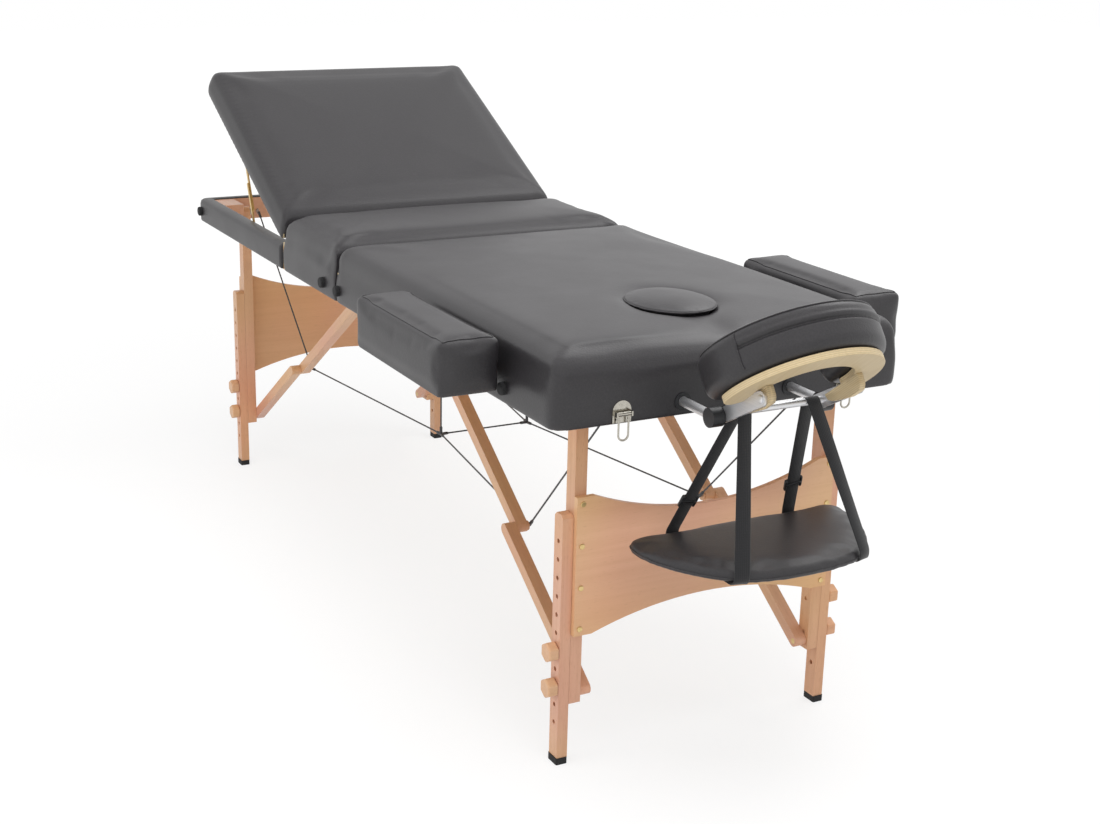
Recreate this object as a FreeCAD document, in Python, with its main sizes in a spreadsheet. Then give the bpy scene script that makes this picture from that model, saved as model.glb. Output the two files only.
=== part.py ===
import FreeCAD, Part
import math
import os
import re
import Sketcher

# A folding massage table in two halves: the head half carries the face hole, armrests and headrest,
# the foot half carries a fixed seat pad and a liftable backrest.
# +X runs to the head end, -Y is the near side, +Z is up, and the floor is at Z 0.
V = FreeCAD.Vector
doc = FreeCAD.newDocument("massage_table")
sheet = doc.addObject("Spreadsheet::Sheet", "Sheet")

SIZES = [
    ("fold_x", -133.7, "fold line from the middle of the whole object"),
    ("half_len", 935, "fold line to the end of each half"),
    ("table_w", 680, "width over the covers"),
    ("frame_z", 624, "frame underside above the floor"),
    ("rail_h", 52, "rail height"),
    ("rail_w", 26, "rail width"),
    ("skirt", 6, "padded cover around the rails"),
    ("pad_gap", 2, "pad end to the fold plane"),
    ("rail_gap", 6, "rail end to the fold plane"),
    ("deck_t", 8, "plywood deck thickness"),
    ("foam_t", 62, "foam over the deck at the pad edges"),
    ("crown", 9, "rise of a pad over its edges"),
    ("draw_in", 5, "how far the pad sides draw in at the bottom"),
    ("side_bow", 420, "radius of the bowed pad sides"),
    ("edge_r", 30, "round top edge along the pads"),
    ("end_r", 46, "round top edge at the head end"),
    ("fold_r", 24, "round top edge at the fold"),
    ("corner_r", 26, "plan corner radius at the table ends"),
    ("face_in", 215, "face hole centre from the head end"),
    ("face_long", 82, "face hole half length"),
    ("face_wide", 68, "face hole half width"),
    ("plug_gap", 1.5, "plug to face hole"),
    ("plug_deep", 30, "plug stem length"),
    ("plug_lip", 9, "plug rim past the face hole"),
    ("plug_dome", 15, "height of the domed plug rim"),
    ("seat_end", 318, "seat pad end from the fold"),
    ("crease", 28, "gap between seat pad and backrest at their foot"),
    ("back_rise", 4, "backrest hinge over the rails"),
    ("back_deg", 27, "backrest angle"),
    ("back_side", 8, "backrest inside the table sides"),
    ("back_r", 55, "round edges where seat and backrest meet"),
    ("back_lift", 6, "backrest board over the rails"),
    ("back_t", 10, "backrest board thickness"),
    ("back_draw", 2, "how far the backrest pad draws in at its board"),
    ("back_corner", 48, "plan corner radius of the backrest pad"),
    ("back_hinge_side", 140, "backrest hinges from the table sides"),
    ("cover_top", 4, "cover on the open rails"),
    ("bolt_r", 5, "frame bolt radius"),
    ("run_gap", 0.05, "radial running clearance"),
    ("slip", 0.4, "side clearance between moving wood parts"),
    ("slide_gap", 0.35, "radial clearance of a sliding dowel"),
    ("leg_inset", 83, "leg pivot from the table end"),
    ("leg_rise", 28, "leg pivot over the frame underside"),
    ("leg_d", 28, "leg depth along the table"),
    ("leg_side", 81, "outer face of the upper legs from the table side"),
    ("leg_w", 22, "upper leg thickness"),
    ("leg_end_z", 111, "lower end of the upper legs"),
    ("post_w", 20, "lower leg thickness"),
    ("post_top", 454, "top of the lower legs"),
    ("foot_h", 12, "rubber foot height"),
    ("foot_lip", 1.5, "rubber foot past the leg"),
    ("hole_z", 76, "lowest hole of the lower leg"),
    ("hole_pitch", 33, "spacing of the height holes"),
    ("hole_count", 11, "holes in a lower leg"),
    ("hole_r", 4.2, "height hole radius"),
    ("knob_bolt", 3.9, "knob bolt radius"),
    ("knob_r", 18, "knob radius over its corners"),
    ("knob_t", 19, "knob thickness"),
    ("knob_round", 3.5, "round edge of a knob"),
    ("knob_low", 2, "hole that takes the lower knob"),
    ("knob_high", 4, "hole that takes the upper knob"),
    ("panel_t", 10, "end panel thickness"),
    ("panel_low", 239, "end panel lower corners"),
    ("panel_top", 485, "end panel upper corners"),
    ("panel_ear", 34, "straight shoulder beside each leg"),
    ("panel_dip", 46, "dip of the upper edge"),
    ("panel_arch", 37, "rise of the lower edge"),
    ("screw_r", 5, "panel screw head radius"),
    ("screw_h", 2, "panel screw head height"),
    ("screw_in", 11, "panel screws from the panel sides"),
    ("screw_up", 12, "panel screws from the panel corners"),
    ("link_w", 22, "brace link width"),
    ("link_t", 22, "brace link thickness"),
    ("brace_z", 127, "brace bolt on the leg above the floor"),
    ("brace_x", 80, "brace bolt on the frame from the fold"),
    ("brace_rise", 24, "brace bolt over the frame underside"),
    ("hinge_r", 4, "fold hinge knuckle radius"),
    ("pin_r", 2.5, "hinge pin radius"),
    ("leaf_t", 2, "hinge leaf thickness"),
    ("leaf_w", 60, "hinge length"),
    ("hinge_side", 190, "hinges from the table sides"),
    ("hinge_drop", 0.5, "fold axis under the frame"),
    ("latch_side", 122, "latches from the table sides"),
    ("latch_w", 34, "latch plate width"),
    ("latch_h", 38, "latch plate height"),
    ("latch_t", 2, "latch plate thickness"),
    ("latch_low", 3, "latch plate over the frame underside"),
    ("bail_w", 22, "bail width"),
    ("bail_h", 44, "bail length"),
    ("wire_r", 1.6, "bail wire radius"),
    ("axle_r", 2, "latch axle radius"),
    ("bumper_r", 11, "rubber bumper radius"),
    ("bumper_t", 11, "rubber bumper height"),
    ("bumper_round", 3, "round edge of a bumper"),
    ("bumper_fold", 20, "head bumper from the fold"),
    ("bumper_seat", 64, "foot bumper from the fold"),
    ("bumper_head", 172, "head bumper from the table end"),
    ("bumper_foot", 30, "foot bumper from the table end"),
    ("bumper_z", 26, "bumpers over the frame underside"),
    ("dowel_r", 8, "headrest dowel radius"),
    ("dowel_y", 105, "headrest dowels from the middle"),
    ("dowel_z", 24, "headrest dowels over the frame underside"),
    ("dowel_in", 130, "headrest dowel inside the table"),
    ("bush_t", 3, "bush wall"),
    ("bush_lip", 4, "bush flange"),
    ("hub_out", 93, "headrest hub from the head end"),
    ("hub_r", 16, "headrest hub radius"),
    ("hub_w", 22, "headrest hub width"),
    ("hub_pin_r", 4, "headrest pivot radius"),
    ("plate_t", 3.5, "headrest side plate thickness"),
    ("plate_w", 14, "headrest side plate width"),
    ("plate_x", 103, "side plate reach along the table"),
    ("plate_z", 56.5, "side plate rise"),
    ("bar_r", 6, "headrest cross bar radius"),
    ("bar_at", 21, "cross bar from the hubs along the plates"),
    ("ring_out", 22, "headrest cushion centre from the hubs"),
    ("ring_up", 128, "headrest cushion top over the hubs"),
    ("ring_deg", 37, "headrest tilt"),
    ("ring_r", 110, "headrest cushion mid radius"),
    ("ring_w", 74, "headrest cushion width"),
    ("ring_t", 80, "headrest cushion height"),
    ("ring_arc", 236, "headrest cushion arc"),
    ("ring_edge", 24, "headrest cushion round edges"),
    ("ring_bow", 300, "radius of the bowed cushion walls"),
    ("ring_draw", 4, "how far the cushion walls draw in"),
    ("ring_end", 12, "headrest cushion round ends"),
    ("board_t", 12, "headrest plywood thickness"),
    ("board_arc", 200, "headrest plywood arc"),
    ("board_in", 14, "headrest plywood inside the cushion edge"),
    ("ear_w", 11, "headrest ear thickness"),
    ("ear_len", 40, "headrest ear length"),
    ("ear_h", 22, "headrest ear height"),
    ("shelf_drop", 212, "arm shelf underside below the frame"),
    ("shelf_t", 24, "arm shelf thickness"),
    ("shelf_out", 7, "arm shelf rear edge from the head end"),
    ("shelf_deep", 224, "arm shelf depth"),
    ("shelf_half", 210, "arm shelf half width"),
    ("shelf_corner", 105, "arm shelf front corners"),
    ("shelf_bulge", 10, "bow of the arm shelf front"),
    ("shelf_round", 40, "arm shelf rear corners"),
    ("shelf_edge", 9, "arm shelf round edges"),
    ("strap_w", 25, "webbing width"),
    ("strap_t", 2, "webbing thickness"),
    ("strap_top", 66, "straps on the bar from the middle"),
    ("strap_back", 116, "rear straps on the shelf from the middle"),
    ("strap_front", 126, "front straps on the shelf from the middle"),
    ("strap_edge", 12, "straps from the shelf edges"),
    ("strap_gap", 0.5, "strap loop around the cross bar"),
    ("arm_back", 511, "armrest start from the head end"),
    ("arm_len", 352, "armrest length"),
    ("arm_gap", 12, "armrest from the table side"),
    ("arm_w", 103, "armrest width"),
    ("arm_up", 29, "armrest underside over the frame underside"),
    ("arm_h", 92, "armrest height"),
    ("arm_r", 9, "armrest edge radius"),
    ("arm_pin_r", 6, "armrest dowel radius"),
    ("arm_pin_up", 40, "armrest dowels over the frame underside"),
    ("arm_pin_x", 96, "armrest dowel from the armrest end"),
    ("arm_pin_in", 60, "armrest dowel inside the armrest"),
    ("arm_pin_reach", 36, "armrest dowel inside the table side"),
    ("arm_crown", 3, "rise of the armrest top"),
    ("arm_draw", 3, "how far the armrest sides draw in"),
    ("arm_bow", 500, "radius of the bowed armrest sides"),
    ("stay_x", 585, "stay pivot on the rail from the fold"),
    ("stay_z", 16, "stay pivot over the frame underside"),
    ("stay_reach", 377, "stay bracket from the backrest hinge"),
    ("stay_drop", 14, "stay pivot under the backrest hinge plane"),
    ("stay_low", 128, "lower stay bar length"),
    ("stay_up", 150, "upper stay bar length"),
    ("stay_w", 8, "stay bar width"),
    ("stay_t", 3, "stay bar thickness"),
    ("stay_pin", 2.5, "stay pin radius"),
    ("cable_r", 1.5, "steel cable radius"),
    ("eye_side", 140, "cable eyes from the table sides"),
    ("eye_z", 18, "cable eyes over the frame underside"),
    ("eye_r", 6, "cable eye radius"),
    ("node_y", 103, "cable crossing from the middle"),
    ("node_z", 312, "cable crossing above the floor"),
]
for row, (alias, value, note) in enumerate(SIZES, start=1):
    sheet.set("A%d" % row, note)
    sheet.set("B%d" % row, str(value))
    sheet.setAlias("B%d" % row, alias)
doc.recompute()
ALIASES = {alias for alias, value, note in SIZES}

# Places that several pieces share, written in terms of the sizes above.
PLACES = {
    "leg_x": "half_len - leg_inset",
    "face_x": "half_len - face_in",
    "back_start": "seat_end + crease",
    "back_axis": "seat_end + crease / 2",
    "back_hinge_y": "table_w / 2 - back_hinge_side",
    "back_half": "table_w / 2 - back_side",
    "leg_out": "table_w / 2 - leg_side",
    "hinge_y": "table_w / 2 - hinge_side",
    "latch_y": "table_w / 2 - latch_side",
    "eye_y": "table_w / 2 - eye_side",
    "screw_y": "leg_out - screw_in",
    "screw_low": "panel_low + screw_up",
    "screw_pitch": "(panel_top - panel_low - 2 * screw_up) / 3",
    "hub_x": "half_len + hub_out",
    "ring_x": "hub_x + ring_out",
    "ring_z": "hub_z + ring_up",
    "shelf_z": "frame_z - shelf_drop",
    "shelf_back": "half_len + shelf_out",
    "shelf_flat": "shelf_half - shelf_corner",
    "shelf_front": "shelf_back + shelf_deep - shelf_bulge",
    "arm_x": "half_len - arm_back",
    "arm_y": "table_w / 2 + arm_gap",
    "arm_z": "frame_z + arm_up",
    "arm_pin_z": "frame_z + arm_pin_up",
    "arm_pin_end": "table_w / 2 - arm_pin_reach",
    "rail_top": "frame_z + rail_h",
    "deck_top": "rail_top + deck_t",
    "pad_edge_z": "deck_top + foam_t",
    "rail_out": "table_w / 2 - skirt",
    "rail_in": "rail_out - rail_w",
    "frame_end": "half_len - skirt",
    "end_rail_x": "frame_end - rail_w",
    "leg_z": "frame_z + leg_rise",
    "leg_in": "leg_out - leg_w",
    "post_in": "leg_out + slip",
    "post_out": "post_in + post_w",
    "leg_back": "leg_x + leg_d / 2",
    "brace_top": "frame_z + brace_rise",
    "low_link_y": "leg_in - slip",
    "up_link_y": "low_link_y - link_t - slip",
    "up_link_in": "up_link_y - link_t",
    "fold_z": "frame_z - hinge_drop",
    "back_z": "rail_top + back_rise",
    "back_under": "rail_top + back_lift",
    "back_top": "back_under + back_t",
    "hub_z": "frame_z + dowel_z",
    "plate_y": "dowel_y - hub_w / 2 - slip",
    "ear_y": "plate_y - plate_t - slip",
    "shelf_top": "shelf_z + shelf_t",
    "corner_r_in": "corner_r - skirt",
    "bush_r": "dowel_r + bush_t",
    "arm_bush_r": "arm_pin_r + bush_t",
    "stay_pivot": "frame_z + stay_z",
    "stay_flat_z": "back_z - stay_drop",
    "stay_y_low": "rail_in - slip",
    "stay_y_up": "stay_y_low - stay_t - slip",
    "latch_pivot": "frame_z + latch_low + latch_h - 22",
    "bail_x": "half_len + latch_t + 6",
}


def formula(text):
    """Write a size formula with full cell names."""
    def full(match):
        name = match.group()
        if name in PLACES:
            return "(" + formula(PLACES[name]) + ")"
        return "Sheet." + name if name in ALIASES else name
    return re.sub(r"[a-z_]\w*", full, str(text))


def num(text):
    """The present value of a size formula."""
    return float(sheet.evalExpression(formula(text)))


def bind(item, prop, text):
    item.setExpression(prop, formula(text))


def place(item, x, y, z, turn=None):
    """Put an item at x from the fold line, y from the middle and z from the floor."""
    if turn:
        item.Placement = FreeCAD.Placement(V(), turn)
    bind(item, "Placement.Base.x", "fold_x + (%s)" % x)
    bind(item, "Placement.Base.y", y)
    bind(item, "Placement.Base.z", z)
    return item


made = {}


def add(kind, name):
    """A new document object with a name of its own."""
    made[name] = made.get(name, 0) + 1
    return doc.addObject(kind, name if made[name] == 1 else "%s_%d" % (name, made[name]))


def box(name, x, y, z, long, wide, high):
    item = add("Part::Box", name)
    for prop, text in (("Length", long), ("Width", wide), ("Height", high)):
        bind(item, prop, text)
    return place(item, x, y, z)


TURNS = {
    "X": FreeCAD.Rotation(V(0, 1, 0), 90),
    "Y": FreeCAD.Rotation(V(1, 0, 0), -90),
    "Z": FreeCAD.Rotation(),
}


def rod(name, axis, x, y, z, radius, length):
    """A cylinder that starts at x, y, z and runs along +axis."""
    item = add("Part::Cylinder", name)
    bind(item, "Radius", radius)
    bind(item, "Height", length)
    return place(item, x, y, z, TURNS[axis])


def oval(name, x, y, z, long, wide, high):
    """An upright elliptical column."""
    edge = add("Part::Ellipse", name + "_edge")
    bind(edge, "MajorRadius", long)
    bind(edge, "MinorRadius", wide)
    place(edge, x, y, z)
    item = add("Part::Extrusion", name)
    item.Base = edge
    item.DirMode = "Custom"
    item.Dir = V(0, 0, 1)
    bind(item, "LengthFwd", high)
    item.Solid = True
    return item


def cut(name, base, *tools):
    item = add("Part::Cut", name)
    item.Base = base
    item.Tool = tools[0] if len(tools) == 1 else fuse(name + "_tool", *tools)
    return item


def fuse(name, *parts):
    item = add("Part::MultiFuse", name)
    item.Shapes = list(parts)
    return item


def common(name, *parts):
    item = add("Part::MultiCommon", name)
    item.Shapes = list(parts)
    return item


def mirror(item, axis):
    """The same piece on the far side (Y) or on the other half of the table (X)."""
    copy = add("Part::Mirroring", item.Name + "_mirror")
    copy.Source = item
    copy.Normal = V(1, 0, 0) if axis == "X" else V(0, 1, 0)
    if axis == "X":
        bind(copy, "Base.x", "fold_x")
    return copy


def rounded(name, base, radius, pick):
    """Fillet the edges that pick chooses by their middle point and direction."""
    doc.recompute()
    item = add("Part::Fillet", name)
    item.Base = base
    size = num(radius)
    edges = []
    for index, edge in enumerate(base.Shape.Edges, start=1):
        middle = edge.valueAt((edge.FirstParameter + edge.LastParameter) / 2)
        if pick(middle, edge):
            edges.append((index, size, size))
    item.Edges = edges
    return item


def new_body(name, role, loops, depth, circles=()):
    """A padded sketch on one of the body's own planes: loops of points, and round holes."""
    body = add("PartDesign::Body", name)
    sketch = body.newObject("Sketcher::SketchObject", body.Name + "_sketch")
    base = [item for item in body.Origin.OriginFeatures if item.Role == role][0]
    sketch.AttachmentSupport = (base, [""])
    sketch.MapMode = "FlatFace"
    for loop in loops:
        add_loop(sketch, loop)
    for u, v, radius in circles:
        spot = sketch.addGeometry(Part.Circle(V(num(u), num(v), 0), V(0, 0, 1), num(radius)))
        pin_point(sketch, spot, 3, u, v)
        pin_size(sketch, Sketcher.Constraint("Radius", spot, num(radius)), radius)
    doc.recompute()
    pad = body.newObject("PartDesign::Pad", body.Name + "_pad")
    pad.Profile = sketch
    bind(pad, "Length", depth)
    body.Tip = pad
    return body


def pin_size(sketch, constraint, text):
    index = sketch.addConstraint(constraint)
    sketch.renameConstraint(index, "size_%d" % index)
    bind(sketch, "Constraints.size_%d" % index, text)


def pin_point(sketch, geo, pos, u, v):
    pin_size(sketch, Sketcher.Constraint("DistanceX", -1, 1, geo, pos, num(u)), u)
    pin_size(sketch, Sketcher.Constraint("DistanceY", -1, 1, geo, pos, num(v)), v)


def add_loop(sketch, points):
    """A closed outline. A point (u, v) starts a line, and (u, v, r) an arc of radius r,
    which bulges to the left of its direction, or to the right if r starts with a minus."""
    segments = []
    for i, point in enumerate(points):
        after = points[(i + 1) % len(points)]
        a = V(num(point[0]), num(point[1]), 0)
        b = V(num(after[0]), num(after[1]), 0)
        if len(point) == 2:
            segments.append((sketch.addGeometry(Part.LineSegment(a, b)), 1, 2))
            continue
        text = point[2]
        left = not text.startswith("-")
        text = text.lstrip("-")
        radius = num(text)
        chord = b - a
        normal = V(-chord.y, chord.x, 0).normalize()
        sag = math.sqrt(max(radius ** 2 - (chord.Length / 2) ** 2, 0))
        centre = (a + b) * 0.5 + normal * (-sag if left else sag)
        start, end = (b, a) if left else (a, b)
        angles = [math.atan2(p.y - centre.y, p.x - centre.x) for p in (start, end)]
        if angles[1] < angles[0]:
            angles[1] += 2 * math.pi
        arc = Part.ArcOfCircle(Part.Circle(centre, V(0, 0, 1), radius), angles[0], angles[1])
        spot = sketch.addGeometry(arc)
        pin_size(sketch, Sketcher.Constraint("Radius", spot, radius), text)
        segments.append((spot, 2, 1) if left else (spot, 1, 2))
    for i, (spot, first, last) in enumerate(segments):
        after = segments[(i + 1) % len(segments)]
        sketch.addConstraint(Sketcher.Constraint("Coincident", spot, last, after[0], after[1]))
        pin_point(sketch, spot, first, points[i][0], points[i][1])


def round_body(body, radius, pick):
    """Fillet chosen edges of a body."""
    doc.recompute()
    names = []
    for index, edge in enumerate(body.Tip.Shape.Edges, start=1):
        middle = edge.valueAt((edge.FirstParameter + edge.LastParameter) / 2)
        if pick(middle, edge):
            names.append("Edge%d" % index)
    base = body.Tip
    fillet = body.newObject("PartDesign::Fillet", body.Name + "_round")
    fillet.Base = (base, names)
    bind(fillet, "Radius", radius)
    body.Tip = fillet
    return body


def straight(edge, axis):
    """True for a straight edge along an axis."""
    if edge.Curve.TypeId != "Part::GeomLine":
        return False
    line = edge.Vertexes[-1].Point - edge.Vertexes[0].Point
    return abs(getattr(line.normalize(), axis)) > 0.999


nodes = []


def node(label, *parts):
    """A named sub-part: one piece, or a group of like pieces."""
    item = parts[0]
    if len(parts) > 1:
        item = add("Part::Compound", label + "_set")
        item.Links = list(parts)
    item.Label = label
    nodes.append(item)
    return item


def both_sides(piece):
    return piece, mirror(piece, "Y")


def crown_radius(half, rise):
    """The radius of a shallow arc over a chord."""
    return "((%s)^2 + (%s)^2) / (2 * (%s))" % (half, rise, rise)


def pad_block(name, ends, middle, half, heights, shape, radii):
    """A crowned cushion: its outline across and its outline along the table, taken in common.
    The sides bow out and draw in towards the bottom, and every top edge is round."""
    x_low, x_high = ends
    z_low, top = heights
    rise, draw, bow = shape
    side_r, low_r, high_r = radii
    flat = "%s - %s" % (half, side_r)
    across = new_body(name + "_across", "YZ_Plane", [[
        ("-(%s - %s)" % (half, draw), z_low, bow),
        ("-(%s)" % half, "%s - %s" % (top, side_r), side_r),
        ("-(%s)" % flat, top, crown_radius(flat, rise)),
        (flat, top, side_r),
        (half, "%s - %s" % (top, side_r), bow),
        ("%s - %s" % (half, draw), z_low),
    ]], "(%s) - (%s)" % (x_high, x_low))
    place(across, x_low, middle, "0")
    half_run = "((%s) - (%s) - %s - %s) / 2" % (x_high, x_low, low_r, high_r)
    along = new_body(name + "_along", "XZ_Plane", [[
        (x_low, z_low),
        (x_low, "%s - %s" % (top, low_r), low_r),
        ("(%s) + %s" % (x_low, low_r), top, crown_radius(half_run, rise)),
        ("(%s) - %s" % (x_high, high_r), top, high_r),
        (x_high, "%s - %s" % (top, high_r)),
        (x_high, z_low),
    ]], "2 * (%s) + 40" % half)
    place(along, "0", "%s + %s + 20" % (middle, half), "0")
    return across, along


def plan_block(name, ends, half, radii, z_low, height):
    """An upright block over a rectangle, with the corners of one end or of both ends round."""
    x_low, x_high = ends
    low_r, high_r = radii
    points = []
    if low_r:
        points += [(x_low, "-(%s) + %s" % (half, low_r), "-" + low_r),
                   ("(%s) + %s" % (x_low, low_r), "-(%s)" % half)]
    else:
        points += [(x_low, "-(%s)" % half)]
    if high_r:
        points += [("(%s) - %s" % (x_high, high_r), "-(%s)" % half, "-" + high_r),
                   (x_high, "-(%s) + %s" % (half, high_r)),
                   (x_high, "%s - %s" % (half, high_r), "-" + high_r),
                   ("(%s) - %s" % (x_high, high_r), half)]
    else:
        points += [(x_high, "-(%s)" % half), (x_high, half)]
    if low_r:
        points += [("(%s) + %s" % (x_low, low_r), half, "-" + low_r), (x_low, "%s - %s" % (half, low_r))]
    else:
        points += [(x_low, half)]
    return place(new_body(name, "XY_Plane", [points], height), "0", "0", z_low)


# Head half: rails, deck and pad. The frame corners are round under the round cover corners.
TABLE_SHAPE = ("crown", "draw_in", "side_bow")
ARM_HOLES = ["arm_x + arm_pin_x", "arm_x + arm_len - arm_pin_x"]
frame_r = "corner_r_in"
rail_long = "frame_end - rail_gap"


def frame_plan(name, z_low, height):
    return plan_block(name, ("0", "frame_end"), "rail_out", (None, frame_r), z_low, height)


rail_plan = frame_plan("rail_plan", "frame_z", "rail_h")
plain_rail = box("rail_bar", "rail_gap", "-rail_out", "frame_z", rail_long, "rail_w", "rail_h")
plain_rail = common("side_rail", plain_rail, rail_plan)
arm_bores = [rod("arm_bore", "Y", x, "-rail_out - 1", "arm_pin_z", "arm_bush_r", "rail_w + 2")
             for x in ARM_HOLES]
head_rail = cut("head_side_rail", plain_rail, *arm_bores)
plain_end = box("end_rail", "end_rail_x", "-rail_in", "frame_z", "rail_w", "2 * rail_in", "rail_h")
dowel_bores = [rod("dowel_bore", "X", "end_rail_x - 1", y, "hub_z", "bush_r", "rail_w + 2")
               for y in ("-dowel_y", "dowel_y")]
head_end = cut("head_end_rail", plain_end, *dowel_bores)
centre_bar = box("centre_bar", "rail_gap", "-rail_in", "frame_z", "rail_w", "2 * rail_in", "rail_h")
leaf_seats = [box("leaf_seat", "rail_gap - 1", "%s - leaf_w / 2 - slip" % y, "frame_z - 1",
                  "rail_w - 1", "leaf_w + 2 * slip", "leaf_t + 1") for y in ("-hinge_y", "hinge_y")]
centre_rail = cut("centre_rail", centre_bar, *leaf_seats)
node("head_rails", *both_sides(head_rail), head_end, centre_rail)

face_bore = oval("face_bore", "face_x", "0", "frame_z", "face_long", "face_wide",
                 "rail_h + deck_t + foam_t + 60")
deck = box("head_board", "rail_gap", "-rail_out", "rail_top", rail_long, "2 * rail_out", "deck_t")
node("head_deck", cut("head_deck_cut", common("head_board_round", deck, frame_plan(
    "deck_plan", "rail_top", "deck_t")), face_bore))

head_ends = ("pad_gap", "half_len")
head_outer = common("head_pad_outer", *pad_block(
    "head_pad", head_ends, "0", "table_w / 2", ("frame_z", "pad_edge_z"), TABLE_SHAPE,
    ("edge_r", "fold_r", "end_r")),
    plan_block("head_pad_plan", head_ends, "table_w / 2 + 1", (None, "corner_r"), "frame_z",
               "rail_h + deck_t + foam_t + 60"))
head_space = frame_plan("head_space", "frame_z - 1", "rail_h + deck_t + 1")
bush_bores = [rod("bush_bore", "X", "frame_end - 1", y, "hub_z", "bush_r", "skirt + 20")
              for y in ("-dowel_y", "dowel_y")]
bush_bores += [rod("arm_bush_bore", "Y", x, y, "arm_pin_z", "arm_bush_r", "skirt + 20")
               for x in ARM_HOLES for y in ("-rail_out - skirt - 19", "rail_out - 1")]
BUMPERS = {"head": ["bumper_fold", "half_len - bumper_head"],
           "foot": ["-bumper_seat", "-half_len + bumper_foot"]}


def bumper_rod(name, x, radius):
    return rod(name, "Y", x, "-rail_out - skirt - bumper_t + 3", "frame_z + bumper_z", radius,
               "skirt + bumper_t - 3")


def bumpers(half):
    """Rubber buttons on the near side, which the closed table stands on."""
    return [rounded("bumper_round", bumper_rod("bumper", x, "bumper_r"), "bumper_round",
                    lambda p, e: p.y < num("-rail_out - skirt - bumper_t + 3") + 0.1)
                    for x in BUMPERS[half]]


head_bumper_bores = [bumper_rod("bumper_bore", x, "bumper_r") for x in BUMPERS["head"]]
node("head_pad", cut("head_pad_cut", head_outer, head_space, face_bore, *bush_bores, *head_bumper_bores))
node("head_bumpers", *bumpers("head"))

# Bushes that take the headrest dowels and the armrest dowels.
bushes = []
for y in ("-dowel_y", "dowel_y"):
    tube = fuse("dowel_bush_solid", rod("dowel_bush_tube", "X", "end_rail_x", y, "hub_z", "bush_r",
                                        "rail_w + skirt"),
                rod("dowel_bush_lip", "X", "half_len", y, "hub_z", "bush_r + bush_lip", "2"))
    bushes.append(cut("dowel_bush", tube, rod("dowel_bush_bore", "X", "end_rail_x - 1", y, "hub_z",
                                              "dowel_r + slide_gap", "rail_w + skirt + 9")))
for x in ARM_HOLES:
    tube = fuse("arm_bush_solid", rod("arm_bush_tube", "Y", x, "-rail_out - skirt - 1", "arm_pin_z",
                                      "arm_bush_r", "rail_w + skirt + 1"),
                rod("arm_bush_lip", "Y", x, "-rail_out - skirt - 3", "arm_pin_z", "arm_bush_r + bush_lip",
                    "2"))
    bushes += both_sides(cut("arm_bush", tube, rod("arm_bush_hole", "Y", x, "-rail_out - skirt - 4",
                                                   "arm_pin_z",
                                                   "arm_pin_r + slide_gap", "rail_w + skirt + 9")))
node("accessory_bushes", *bushes)

# The domed plug sits on the pad by its rim, with a short stem in the face hole.
rim_z = "pad_edge_z + crown - 1"
stem = oval("plug_stem", "face_x", "0", rim_z + " - plug_deep", "face_long - plug_gap",
            "face_wide - plug_gap", "plug_deep + 4")
rim = oval("plug_rim", "face_x", "0", rim_z, "face_long + plug_lip", "face_wide + plug_lip", "plug_dome")
rim = rounded("plug_rim_round", rim, "plug_dome - 3", lambda p, e: p.z > num(rim_z) + 8)
node("face_plug", fuse("plug_body", stem, rim))

# Wooden blocks under the deck carry the leg bolts and the brace bolts.
leg_block = box("leg_block", "leg_x - 32", "-rail_in", "frame_z + 8", "end_rail_x - leg_x + 32",
                "rail_in - post_in", "rail_h - 8")
leg_block = cut("leg_block_cut", leg_block, rod("leg_block_bore", "Y", "leg_x", "-rail_in + 6", "leg_z",
                                                "bolt_r", "rail_in - post_in"))
brace_block = box("brace_block", "rail_gap + rail_w", "-low_link_y - 12", "frame_z + 12",
                  "brace_x + 18 - rail_gap - rail_w", "low_link_y - up_link_y - slip + 12", "rail_h - 12")
brace_block = cut("brace_block_cut", brace_block,
                  rod("brace_block_bore", "Y", "brace_x", "-low_link_y - 10", "brace_top", "bolt_r", "60"))
head_blocks = [*both_sides(leg_block), *both_sides(brace_block)]
node("head_frame_blocks", *head_blocks)
node("foot_frame_blocks", *[mirror(piece, "X") for piece in head_blocks])


def headed_bolt(name, x, z, low, high):
    """A bolt along Y on the near side from low to high, with a round head at its inner end."""
    shank = rod(name + "_shank", "Y", x, low, z, "bolt_r", "(%s) - (%s)" % (high, low))
    return fuse(name, shank, rod(name + "_head", "Y", x, high, z, "bolt_r + 4", "4"))


leg_bolt = headed_bolt("leg_bolt", "leg_x", "leg_z", "-rail_in + 6", "-leg_in + slip")
brace_bolt = headed_bolt("brace_bolt", "brace_x", "brace_top", "-low_link_y - 10", "-up_link_in + slip")
ring = add("Part::Torus", "eye_ring")
bind(ring, "Radius1", "eye_r")
bind(ring, "Radius2", "cable_r")
place(ring, "end_rail_x - eye_r - 3", "-eye_y", "frame_z + eye_z", TURNS["Y"])
eye = fuse("cable_eye", ring, rod("eye_shank", "X", "end_rail_x - 3", "-eye_y", "frame_z + eye_z",
                                  "cable_r", "3"))
head_bolts = [piece for bolt in (leg_bolt, brace_bolt, eye) for piece in both_sides(bolt)]
node("head_frame_bolts", *head_bolts)
stay_stud = rod("stay_stud", "Y", "-stay_x", "-rail_in - 10", "stay_pivot", "stay_pin",
                "rail_in + 10 - stay_y_low + stay_t")
node("foot_frame_bolts", *[mirror(piece, "X") for piece in head_bolts], *both_sides(stay_stud))

# Fold hinges: knuckles on the fold line, leaves let into the centre rails.
MIDDLE_KNUCKLE = [("-leaf_w / 6 + slip", "leaf_w / 3 - 2 * slip")]
OUTER_KNUCKLES = [("-leaf_w / 2", "leaf_w / 3"), ("leaf_w / 6", "leaf_w / 3")]


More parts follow.
